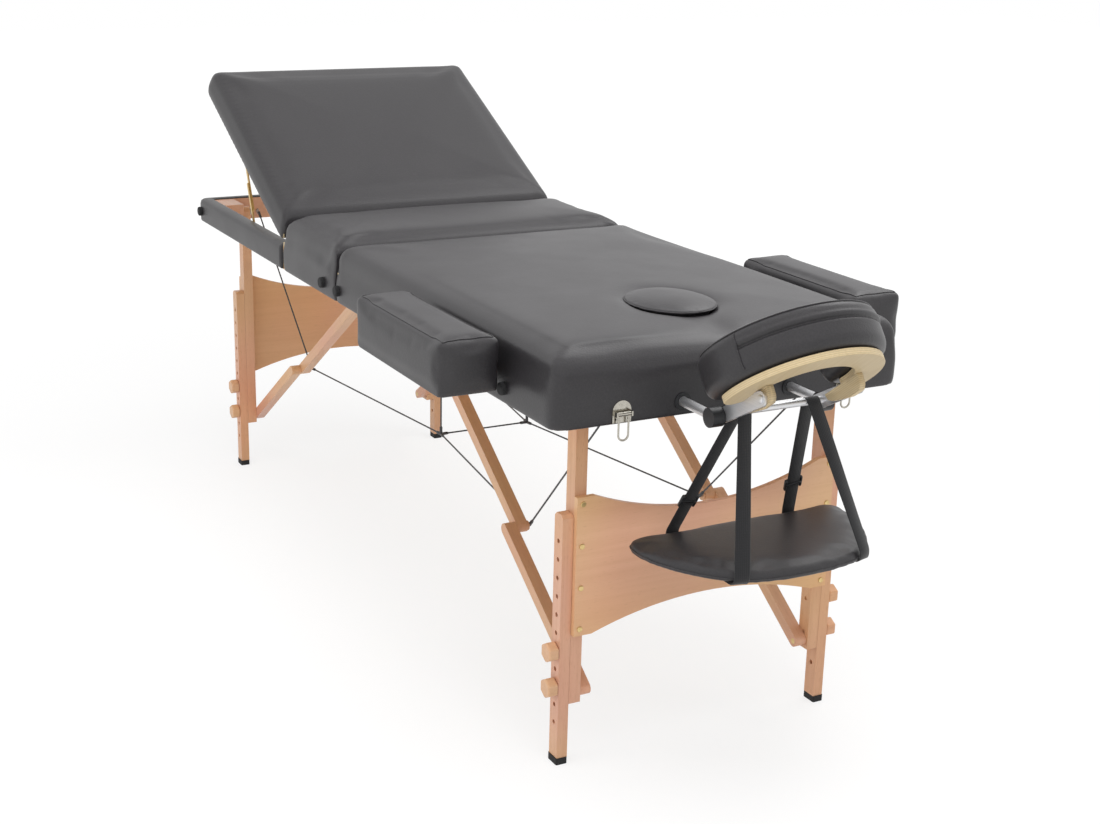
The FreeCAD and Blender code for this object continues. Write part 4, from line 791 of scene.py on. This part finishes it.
# %% Seat pad
SEAT_LOW, SEAT_HIGH, OPEN_HALF = -318, -1, 304
outline = partial(round_rectangle, SEAT_LOW, SEAT_HIGH, PAD_HALF, (3, 3))
rings = loaf(outline, PAD_LOW, PAD_TOP, half=150, edge=28, draw=1, crown=8, hollow_to=DECK_TOP)
rings = roll_end(rings, SEAT_LOW, inwards=1, radius=58, top=PAD_TOP + 3)
seat_pad = closed_tube("seat_pad_cover", place_mm(rings), vinyl)
opening = [(-OPEN_HALF, BELOW_PAD), (OPEN_HALF, BELOW_PAD), (OPEN_HALF, DECK_TOP - 1),
           (-OPEN_HALF, DECK_TOP - 1)]
opening = np.array([np.column_stack([np.full(4, x), opening]) for x in (SEAT_LOW - 30, SEAT_LOW + 32)])
hollow(seat_pad, closed_tube("leg_opening", place_mm(opening), vinyl), voxel=6)
puff(seat_pad, voxel=8, cap=7, hold=over_deck)
square_up(seat_pad, -1)
stands_for(seat_pad, "foot_section", "seat_pad", fill=0.85)


# %% Backrest pad
HINGE_X, HINGE_Z = -332, 680
BACK_LOW, BACK_HIGH, BACK_HALF, BOARD_GAP = -938.5, -343.5, 332, 0.3


def lean_back(points):
    """Turn points about the backrest hinge, which lifts their foot end."""
    x, z = turn_xz(points[..., 0] - HINGE_X, points[..., 2] - HINGE_Z, -BACK_LEAN)
    return np.stack([HINGE_X + x, points[..., 1], HINGE_Z + z], axis=-1)


def over_hinge(points):
    """Height of points over the plane of the hinge, square to the board."""
    return turn_xz(points[:, 0] / MM - FOLD - HINGE_X, points[:, 2] / MM - HINGE_Z, BACK_LEAN)[1]


def back_hold(points):
    """Points near the board are held, and points 30 mm over it are free."""
    return smooth_step(over_hinge(points), 12, 42)


outline = partial(round_rectangle, BACK_LOW, BACK_HIGH, BACK_HALF, (34, 4))
rings = loaf(outline, HINGE_Z - 5, PAD_TOP, half=296, edge=26, draw=1, crown=9, hollow_to=691, wall=16)
rings = roll_end(rings, BACK_LOW, inwards=1, radius=44, top=PAD_TOP + 3)
rings = roll_end(rings, BACK_HIGH, inwards=-1, radius=49, top=PAD_TOP + 3)
back_pad = closed_tube("backrest_pad_cover", place_mm(lean_back(rings)), vinyl)
puff(back_pad, voxel=8, cap=5, hold=back_hold, rounds=10)
points = points_of(back_pad.data)
lift = np.maximum(BOARD_GAP - over_hinge(points), 0) * MM
move_points(back_pad.data, points + lift[:, None] * (math.sin(BACK_LEAN), 0, math.cos(BACK_LEAN)))
stands_for(back_pad, "backrest", "backrest_pad", fill=0.85)

# %% [markdown]
# ### Armrests
# An armrest is a firm box of foam with a separate top panel, sewn on with a seam that shows as a fine
# raised line round the top. It is puffed only a little, because the cover is tight.


# %% Armrests
ARM_START, ARM_END, ARM_Y, ARM_HALF, ARM_LOW, ARM_TOP = 418, 782, 407.5, 56.5, 650, 744


def make_armrest(side, body, node):
    """A box pad on one side of the table: rings of a round rectangle, moved out to that side."""
    outline = partial(round_rectangle, ARM_START + 2, ARM_END - 2, ARM_HALF - 2, (9, 9))
    rings = loaf(outline, ARM_LOW, ARM_TOP - 2, half=ARM_HALF - 2, edge=9, draw=2, crown=2.5)
    rings[..., 1] += side * ARM_Y
    pad = closed_tube(node + "_cover", place_mm(rings), vinyl)
    puff(pad, voxel=5, cap=4, hold=free_above(ARM_LOW + 2, ARM_LOW + 30))
    stands_for(pad, body, node, fill=0.9)
    panel = round_rectangle(ARM_START, ARM_END, ARM_HALF, (12, 12), 7)
    panel[:, 1] += side * ARM_Y
    seam(node + "_seam", pad, all_round(panel, ARM_TOP + 10), 0.9, body)


make_armrest(-1, "near_armrest", "near_armrest_pad")
make_armrest(1, "far_armrest", "far_armrest_pad")

# %% [markdown]
# ### Headrest cushion
# The face cushion is a horseshoe on its plywood board. Its section, a box with a round top, is carried
# round an arc, and its ends are rounded off. Its zip and seams are added after it has been puffed.

# %% Headrest cushion
RING_X, RING_Z, RING_R, RING_WIDE, RING_HIGH, RING_ARC = 1050, 776, 110, 74, 80, 236


def tilt(out, across, high):
    """Cushion coordinates to the table, tilted about the y axis through the cushion's centre."""
    x, z = turn_xz(out, high, CRADLE_LEAN)
    return np.stack([RING_X + x, across, RING_Z + z], axis=-1)


def untilt(points):
    """Radius, angle and height of points, measured from the cushion's centre and top plane."""
    x, y, z = (points / MM - (FOLD + RING_X, 0, RING_Z)).T
    out, high = turn_xz(x, z, -CRADLE_LEAN)
    return np.hypot(out, y), np.arctan2(y, out), high


def horseshoe(grow):
    """The cushion's section carried round its arc. At both ends it shrinks by a quarter circle."""
    half_w, half_h = RING_WIDE / 2 + grow, RING_HIGH / 2 + grow / 2
    section = round_rectangle(-half_w, half_w, half_h, (20, 20), 0)
    end = 16
    a = np.linspace(0, math.pi / 2, 7)
    reach = math.radians(RING_ARC / 2) - end / RING_R
    turn = np.concatenate([-reach - end / RING_R * np.cos(a), np.linspace(-reach, reach, 80),
                           reach + end / RING_R * np.sin(a)])
    size = np.concatenate([1 - end / half_w * (1 - np.sin(a)), np.ones(80),
                           1 - end / half_w * (1 - np.cos(a))])
    r = RING_R + section[None, :, 0] * size[:, None]
    high = -RING_HIGH / 2 + section[None, :, 1] * size[:, None]
    return tilt(r * np.cos(turn)[:, None], r * np.sin(turn)[:, None], high)


def ring_hold(points):
    return smooth_step(untilt(points)[2], -RING_HIGH + 2, -RING_HIGH + 25)


cushion = closed_tube("face_cushion_cover", place_mm(horseshoe(-2)), vinyl)
puff(cushion, voxel=3.5, cap=4, hold=ring_hold)
stands_for(cushion, "face_cradle", "headrest_cushion", fill=0.85)

# %% [markdown]
# The outer wall of the cushion is sewn from three lengths: two plain ends and a middle length with a
# covered zip. The zip is a groove with a soft lip over it, pressed into the mesh. The seams are welts laid
# on the finished surface.

# %% Seams of the headrest cushion
ZIP_HIGH, ZIP_ARC = -34, math.radians(66)
points = points_of(cushion.data)
radius, angle, high = untilt(points)
wall = smooth_step(radius, RING_R + 16, RING_R + 28)
wall *= smooth_step(-np.abs(angle), -ZIP_ARC - 0.03, -ZIP_ARC + 0.03)
groove = 3.6 * np.exp(-((high - ZIP_HIGH) / 2.4) ** 2) - 1.8 * np.exp(-((high - ZIP_HIGH - 7) / 4.0) ** 2)
move_points(cushion.data, points - normals_of(cushion.data) * (groove * wall)[:, None] * MM)


def on_wall(angles, radius, high):
    """Places on the cushion at given angles, at one radius and height or at arrays of them."""
    return tilt(radius * np.cos(angles), radius * np.sin(angles), high + 0 * angles)


sweep = np.radians(np.linspace(-106, 106, 150))
drop = np.linspace(-4, -RING_HIGH + 6, 30)
outer = RING_R + RING_WIDE / 2
seam("cushion_outer_seam", cushion, on_wall(sweep, outer - 3, -3), 1.3, "face_cradle")
seam("cushion_inner_seam", cushion, on_wall(sweep, RING_R - RING_WIDE / 2 + 3, -3), 1.3, "face_cradle")
for sign, word in ((-1, "near"), (1, "far")):
    down = on_wall(np.full(30, sign * ZIP_ARC), outer + 6, drop)
    seam("cushion_%s_seam" % word, cushion, down, 1.1, "face_cradle")

# %% [markdown]
# ### Face cradle and its plates
# Under the cushion is a horseshoe of plywood on two long plywood brackets, and two wide aluminium plates
# with a round bar between them carry the brackets. In the frame they are short ears and narrow bars. Here
# they get the length and width that the photograph shows. Each is an outline given a thickness, with its
# edges taken off.


# %% Outlines with a thickness
def shrunk(ring, inset):
    """A ring drawn in towards its middle, by about inset millimetres."""
    middle = (ring.max(0) + ring.min(0)) / 2
    reach = (ring.max(0) - ring.min(0)) / 2
    return middle + (ring - middle) * (1 - inset / reach)


def even_path(corners, step):
    """Points about every step millimetres along straight runs between corners."""
    return spread(corners, max(int(run_of(corners)[-1] / step), 2))


def soften(path, rounds):
    """Round the corners of a path by averaging each point with its neighbours."""
    for _ in range(rounds):
        path[1:-1] = (path[:-2] + 2 * path[1:-1] + path[2:]) / 4
    return path


EASED = 0.8


def slab(outline, low, high, place):
    """Rings of an outline carried across the table from low to high, with eased edges."""
    steps = ((low, EASED), (low + EASED, 0), (high - EASED, 0), (high, EASED))
    return np.array([place(*shrunk(outline, inset).T, np.full(len(outline), y)) for y, inset in steps])


def rod(x, z, rings):
    """A round bar across the table. Its rings are given as a radius and a place along y."""
    turn = turns(24)
    return np.array([np.column_stack([x + r * np.cos(turn), np.full(24, y), z + r * np.sin(turn)])
                     for r, y in rings])


print("outline helpers ready")

# %% Plywood of the face cradle
BOARD_HALF, BOARD_THICK, BOARD_ARC, BOARD_TIP = 24, 12, math.radians(106), 22
BRACKET_IN, BRACKET_OUT = 78.7, 89.7
BOARD_LOW = -RING_HIGH - BOARD_THICK


def cradle_board():
    """A flat section carried round an arc. Over its tip it gets narrower as sqrt(1 - d^2)."""
    section = round_rectangle(-BOARD_HALF, BOARD_HALF, BOARD_THICK / 2, (1.5, 1.5), 0)
    angle = BOARD_ARC * np.sin(np.linspace(-math.pi / 2, math.pi / 2, 90))
    d = np.clip(1 - (BOARD_ARC - np.abs(angle)) * RING_R / BOARD_TIP, 0, 0.995)
    r = RING_R + section[None, :, 0] * np.sqrt(1 - d ** 2)[:, None]
    high = BOARD_LOW + BOARD_THICK / 2 + section[None, :, 1] + 0 * r
    return tilt(r * np.cos(angle)[:, None], r * np.sin(angle)[:, None], high)


bracket = np.array([(-52, 1), (-50, -9), (-38, -16), (6, -26), (34, -26), (41, -18), (42, 1), (-52, 1)])
bracket = soften(even_path(bracket + (0, BOARD_LOW), 2), 3)[:-1]
parts = [closed_tube("board", place_mm(cradle_board()), cradle_ply)]
for side in (-1, 1):
    rings = slab(bracket, side * BRACKET_IN, side * BRACKET_OUT, lambda out, high, y: tilt(out, y, high))
    parts.append(closed_tube("bracket", place_mm(rings), cradle_ply))
board = join("cradle_plywood", parts, cradle_ply)
stands_for(board, "face_cradle", "cradle_board", slot="plywood")
print(board.name, len(board.data.polygons), "faces")

# %% Aluminium plates of the headrest
HUB_X, HUB_Z = 1028, 648
PLATE_X, PLATE_Z, PLATE_HALF, PLATE_IN, PLATE_OUT = 103, 56.5, 12.5, 90.1, 93.6
BAR_X, BAR_Z, BAR_R = 1046.4, 658.1, 6.0
PLATE_LONG, PLATE_SLOPE = math.hypot(PLATE_X, PLATE_Z), math.atan2(PLATE_Z, PLATE_X)


def on_plate(along, up, y):
    """Places measured along a plate and square to it, from its hub."""
    x, z = turn_xz(along, up, PLATE_SLOPE)
    return np.stack([HUB_X + x, y, HUB_Z + z], axis=-1)


end = np.radians(np.linspace(-90, 90, 17))
stadium = PLATE_HALF * np.column_stack([np.cos(end), np.sin(end)])
stadium = np.vstack([stadium + (PLATE_LONG, 0), -stadium])
bolt = [(6.5, PLATE_OUT - 0.5), (6.5, PLATE_OUT + 1.6), (5.2, PLATE_OUT + 2.7), (2.5, PLATE_OUT + 3)]
bar = rod(BAR_X, BAR_Z, [(BAR_R, y) for y in (-PLATE_IN, 0, PLATE_IN)])
parts = [closed_tube("bar", place_mm(bar), aluminium)]
for side in (-1, 1):
    plate = slab(stadium, side * PLATE_IN, side * PLATE_OUT, on_plate)
    head = rod(HUB_X + PLATE_X, HUB_Z + PLATE_Z, [(r, side * y) for r, y in bolt])
    parts.append(closed_tube("plate", place_mm(plate), aluminium))
    parts.append(closed_tube("bolt", place_mm(head), aluminium))
plates = join("headrest_side_plates", parts, aluminium)
shade_smooth(plates.data, False)
stands_for(plates, "headrest_arm", "headrest_plates", slot="aluminium")
print(plates.name, len(plates.data.polygons), "faces")

# %% [markdown]
# ### Arm shelf and face plug
# The shelf is a thin padded board with a straight back and a bowed front. The plug is a domed oval that
# fills the breathing hole. Both have outlines of their own and close over a crowned top in the same way.

# %% Arm shelf
SHELF_BACK, SHELF_DEEP, SHELF_HALF, SHELF_LOW, SHELF_HIGH = 942, 224, 210, 412, 24
SHELF_CORNER, SHELF_SLANT, SHELF_BOW, SHELF_REAR = 125, 165, 10, 24


def shelf_ring():
    """Outline of the shelf: a straight back with small corners, a bowed front, and front corners that are
    so flat that they look cut off: x grows by sin^1.3 and y falls by cos^1.3 round each of them."""
    front = SHELF_BACK + SHELF_DEEP - SHELF_BOW
    flat = SHELF_HALF - SHELF_CORNER
    quarter = np.radians(np.linspace(0, 90, 13))
    rear = np.radians(np.linspace(180, 270, 9))
    bow = np.linspace(-1, 1, 21)[1:-1]
    near = [np.column_stack([SHELF_BACK + SHELF_REAR + SHELF_REAR * np.cos(rear),
                             -SHELF_HALF + SHELF_REAR + SHELF_REAR * np.sin(rear)]),
            np.column_stack([front - SHELF_SLANT * (1 - np.sin(quarter) ** 1.3),
                             -flat - SHELF_CORNER * np.clip(np.cos(quarter), 0, 1) ** 1.3])]
    middle = np.column_stack([front + SHELF_BOW * (1 - bow ** 2), flat * bow])
    far = [part[::-1] * (1, -1) for part in near[::-1]]
    return even_ring([*near, middle, *far])


shelf_outline = shelf_ring()
rings = loaf(lambda inset: shrunk(shelf_outline, inset + 1), SHELF_LOW + 1, SHELF_LOW + SHELF_HIGH - 4,
             half=110, edge=9, draw=2, crown=3)
shelf = closed_tube("arm_shelf_cover", place_mm(rings), vinyl)
puff(shelf, voxel=4.5, cap=4, hold=free_above(SHELF_LOW + 1, SHELF_LOW + 12))
stands_for(shelf, "arm_shelf", "shelf_pad", fill=0.7)
seam("arm_shelf_seam", shelf, all_round(shrunk(shelf_outline, -6), SHELF_LOW + 9), 1.2, "arm_shelf")

# %% Face plug
RIM, PROBE_FROM = 8, 900
probe = place_mm(at_height(face_oval(RIM + 1), PROBE_FROM))
pad_skin = BVHTree.FromObject(head_pad, bpy.context.evaluated_depsgraph_get())
DOWN = Vector((0, 0, -1))
PLUG_Z = np.mean([pad_skin.ray_cast(Vector(spot), DOWN)[0].z for spot in probe]) / MM
oval = face_oval(RIM)
dome = loaf(partial(shrunk, oval), PLUG_Z + 0.5, PLUG_Z + 7, half=76, edge=5, draw=0, crown=9)
foot = np.array([at_height(face_oval(-4), z) for z in (PLUG_Z - 28, PLUG_Z - 0.5)])
plug = closed_tube("face_plug_cover", place_mm(np.concatenate([foot, dome])), vinyl)
puff(plug, voxel=2.5, cap=2.5, hold=free_above(PLUG_Z + 3, PLUG_Z + 8))
print("the pad is", round(float(PLUG_Z), 1), "mm high round the plug")
stands_for(plug, "face_plug", "face_plug", fill=0.8)
seam("face_plug_seam", plug, all_round(shrunk(oval, -4), PLUG_Z + 3), 1.3, "face_plug")

# %% [markdown]
# ### Rail cover
# Behind the seat the rails are open, and a thin padded strip of vinyl is wrapped over them. Its section is
# carried along three sides of the frame as one strip, with its inner edge on top of the rail and its outer
# edge at the bottom. It is too thin to puff, so its soft edges are part of the section.

# %% Rail cover
COVER_END, FRAME_END, COVER_CORNER, COVER_STEPS = -320, -935, 26, 40


def rail_path(inset):
    """Three sides of the foot frame, drawn in by inset from the cover's outside, with round corners."""
    r = max(COVER_CORNER - inset, 4)
    x_end, y_end = FRAME_END + inset, PAD_HALF - inset
    turn = np.radians(np.linspace(0, 90, 10))
    corner = np.column_stack([x_end + r - r * np.sin(turn), -y_end + r - r * np.cos(turn)])
    side = np.linspace(COVER_END, x_end + r, COVER_STEPS)[:-1]
    near = np.vstack([np.column_stack([side, np.full(len(side), -y_end)]), corner])
    across = np.column_stack([np.full(30, x_end), np.linspace(-y_end + r, y_end - r, 32)[1:-1]])
    return np.vstack([near, across, near[::-1] * (1, -1)])


section = [(6, 626), (1.5, 626), (0.5, 630), (0, 650), (0.3, 668), (2.5, 675), (7, 678), (16, 679.6),
           (26, 679.3), (30.5, 678), (32, 675.5), (30, 672), (20, 671), (12, 664), (9, 640)]
rings = [at_height(rail_path(inset), height) for inset, height in section]
rail_cover = closed_tube("rail_cover_strip", place_mm(np.array(rings).transpose(1, 0, 2)), vinyl)
stands_for(rail_cover, "foot_section", "rail_cover", fill=0.9)
print("rail cover:", len(rail_cover.data.polygons), "faces")

# %% [markdown]
# ## Straps and cables
# Each pair of shelf straps is one length of webbing that runs from the back edge of the shelf up over the
# cross bar and down to the front edge, and is turned under at both ends. A ribbon is a flat section carried
# along a path, with the direction of its width changing slowly on the way.

# %% Webbing straps
STRAP_WIDE, STRAP_THICK, STRAP_REAR, STRAP_FRONT, STRAP_TOP = 25, 1.9, 116, 118, 66


def ribbon(name, path, across, material):
    """A flat band along a path. Its width follows across, its thickness is square to both, and its map
    counts metres: u across and v along."""
    along, out, across = frames(path, across)
    w, t = STRAP_WIDE / 2, STRAP_THICK / 2
    section = np.array([(-w, -t * 0.4), (-w, t * 0.4), (-w + 0.8, t), (0, t), (w - 0.8, t), (w, t * 0.4),
                        (w, -t * 0.4), (w - 0.8, -t), (0, -t), (-w + 0.8, -t)])
    rings = path[:, None] + across[:, None] * section[None, :, :1] + out[:, None] * section[None, :, 1:]
    band = closed_tube(name, place_mm(rings), material)
    run = run_of(path)
    u = np.tile(section[:, 0], len(path))
    v = np.repeat(run, len(section))
    uv = np.vstack([np.column_stack([u, v]), [(0, run[0]), (0, run[-1])]]) * MM
    layer = band.data.uv_layers.new(name="ribbon")
    layer.data.foreach_set("uv", uv[corners_of(band.data)].ravel())
    return band


def strap_path(side):
    """From under the back edge of the shelf, up over the bar and down to the front edge."""
    top, low = SHELF_LOW + SHELF_HIGH, SHELF_LOW
    edge = shelf_outline[shelf_outline[:, 0] > SHELF_BACK + SHELF_DEEP / 2]
    edge = edge[np.argsort(edge[:, 1])]
    rear, front = SHELF_BACK, np.interp(STRAP_FRONT, edge[:, 1], edge[:, 0]) + 3
    r = BAR_R + 0.6 + STRAP_THICK / 2
    over = np.radians(np.linspace(165, 15, 9))
    over = [(BAR_X + r * math.cos(a), STRAP_TOP, BAR_Z + r * math.sin(a)) for a in over]

    def round_edge(edge, inwards, y):
        """From the lap under the shelf, round one of its edges and up to its top."""
        steps = ((40, low - 1.5), (6, low - 1.5), (-1.5, low + 5), (-1.5, top - 6))
        return [(edge + inwards * lap, y, z) for lap, z in steps]

    corners = round_edge(rear, 1, STRAP_REAR) + over + round_edge(front, -1, STRAP_FRONT)[::-1]
    path = soften(even_path(corners, 2.5), 6)
    path[:, 1] *= side
    return path


def bricks(name, boxes, at, axes, material):
    """One object of several blocks with cut edges. A block has a middle and half sizes along three axes."""
    cut = 0.7
    corner = np.array([(-1, -cut), (-cut, -1), (cut, -1), (1, -cut), (1, cut), (cut, 1), (-cut, 1),
                       (-1, cut)])
    points, faces = [], []
    for middle, half in boxes:
        rings = np.array([np.column_stack([corner * size, np.full(8, end)]) for end, size in (
            (-1, cut), (-0.8, 1), (0.8, 1), (1, cut))]) * half + np.array(middle)
        base = 32 * len(points)
        points.append(at + rings.reshape(-1, 3) @ axes)
        faces += (grid_faces(4, 8) + base).tolist()
        faces += [list(range(base + 7, base - 1, -1)), list(range(base + 24, base + 32))]
    return new_thing(name, place_mm(np.vstack(points)), faces, material)


def buckle(name, path, across, share):
    """A ladder buckle on a strap: two side rails and three bars, with the webbing threaded between."""
    index = int(len(path) * share)
    along, out, wide = (part[index] for part in frames(path, across))
    half = STRAP_WIDE / 2
    boxes = [((0, sign * (half + 2.2), 0), (11, 2, 2.6)) for sign in (-1, 1)]
    boxes += [((place, 0, lift), (2.2, half + 3, 1.5)) for place, lift in ((-9, 1.6), (0, -1.8), (9, 1.6))]
    thing = bricks(name, boxes, path[index], np.array([along, wide, out]), plastic)
    stands_for(thing, "arm_shelf", slot="plastic")


for side, word in ((-1, "near"), (1, "far")):
    path = strap_path(side)
    across = np.tile((0.0, 1.0, 0.0), (len(path), 1))
    across[:, 0] = np.where(path[:, 0] > BAR_X, -0.3 * side * smooth_step(-path[:, 2], -640, -440), 0)
    strap = ribbon(word + "_shelf_strap", path, across, webbing)
    stands_for(strap, "arm_shelf", "shelf_straps", slot="webbing")
    print(strap.name, round(float(run_of(path)[-1])), "mm of webbing")
    buckle(word + "_strap_buckle", path, across, 0.19)

# %% [markdown]
# The steel cables keep the legs from spreading. Each run is drawn as a strand: a round section with six
# lobes that turns as it goes. The runs of the head half and of the foot half follow their own frame.

# %% Steel cables
CABLE_R, LAY, AXIS_Z = 1.6, 26, 623.5
SLEEVE_LONG, SLEEVE_GROW = 18, 1.5
KNOT_Y, KNOT_Z, KNOT_TOP = 103, 312, 621.5
ELBOW_X, ELBOW_Y, ELBOW_Z = 568.4, 184.2, 318.4
EYE_X, EYE_Y, EYE_Z = 885, 200, 642


def strand(start, end):
    """Rings of a six lobed section, r (1 + 0.12 cos 6 a), that turns once in every lay of the cable. The
    section grows at both ends, because they are crimped in sleeves."""
    start, end = np.array(start, float), np.array(end, float)
    long = np.linalg.norm(end - start)
    along = (end - start) / long
    side = np.cross(along, (0, 0, 1) if abs(along[2]) < 0.9 else (1, 0, 0))
    side /= np.linalg.norm(side)
    other = np.cross(along, side)
    run = np.linspace(0, long, max(int(long / LAY * 9), 6))[:, None]
    turn = turns(18)[None]
    r = CABLE_R * (1 + 0.12 * np.cos(6 * (turn + 2 * math.pi * run / LAY)))
    r = r + SLEEVE_GROW * smooth_step(SLEEVE_LONG - np.minimum(run, long - run), 0, 3)
    rings = start + along * run[..., None]
    return rings + side * (r * np.cos(turn))[..., None] + other * (r * np.sin(turn))[..., None]


def cable_set(name, runs, body):
    """One object of several strands that ride on a body."""
    strands = [closed_tube(name, place_mm(strand(a, b)), cable_coat) for a, b in runs]
    cable = join(name, strands, cable_coat)
    stands_for(cable, body, "leg_cables", slot="steel")
    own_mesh(cable)
    print(cable.name, len(cable.data.polygons), "faces")


for end, word in ((1, "head"), (-1, "foot")):
    runs = []
    for side in (-1, 1):
        knot, elbow = (0, side * KNOT_Y, KNOT_Z), (end * ELBOW_X, side * ELBOW_Y, ELBOW_Z)
        runs += [(knot, elbow), (elbow, (end * EYE_X, side * EYE_Y, EYE_Z))]
    cable_set(word + "_leg_cables", runs, word + "_section")
cable_set("fold_cables", [((0, -KNOT_Y, KNOT_Z), (0, KNOT_Y, KNOT_Z))] + [
    ((0, side * KNOT_Y, KNOT_Z), (0, side * KNOT_Y, KNOT_TOP)) for side in (-1, 1)], "fold_line")
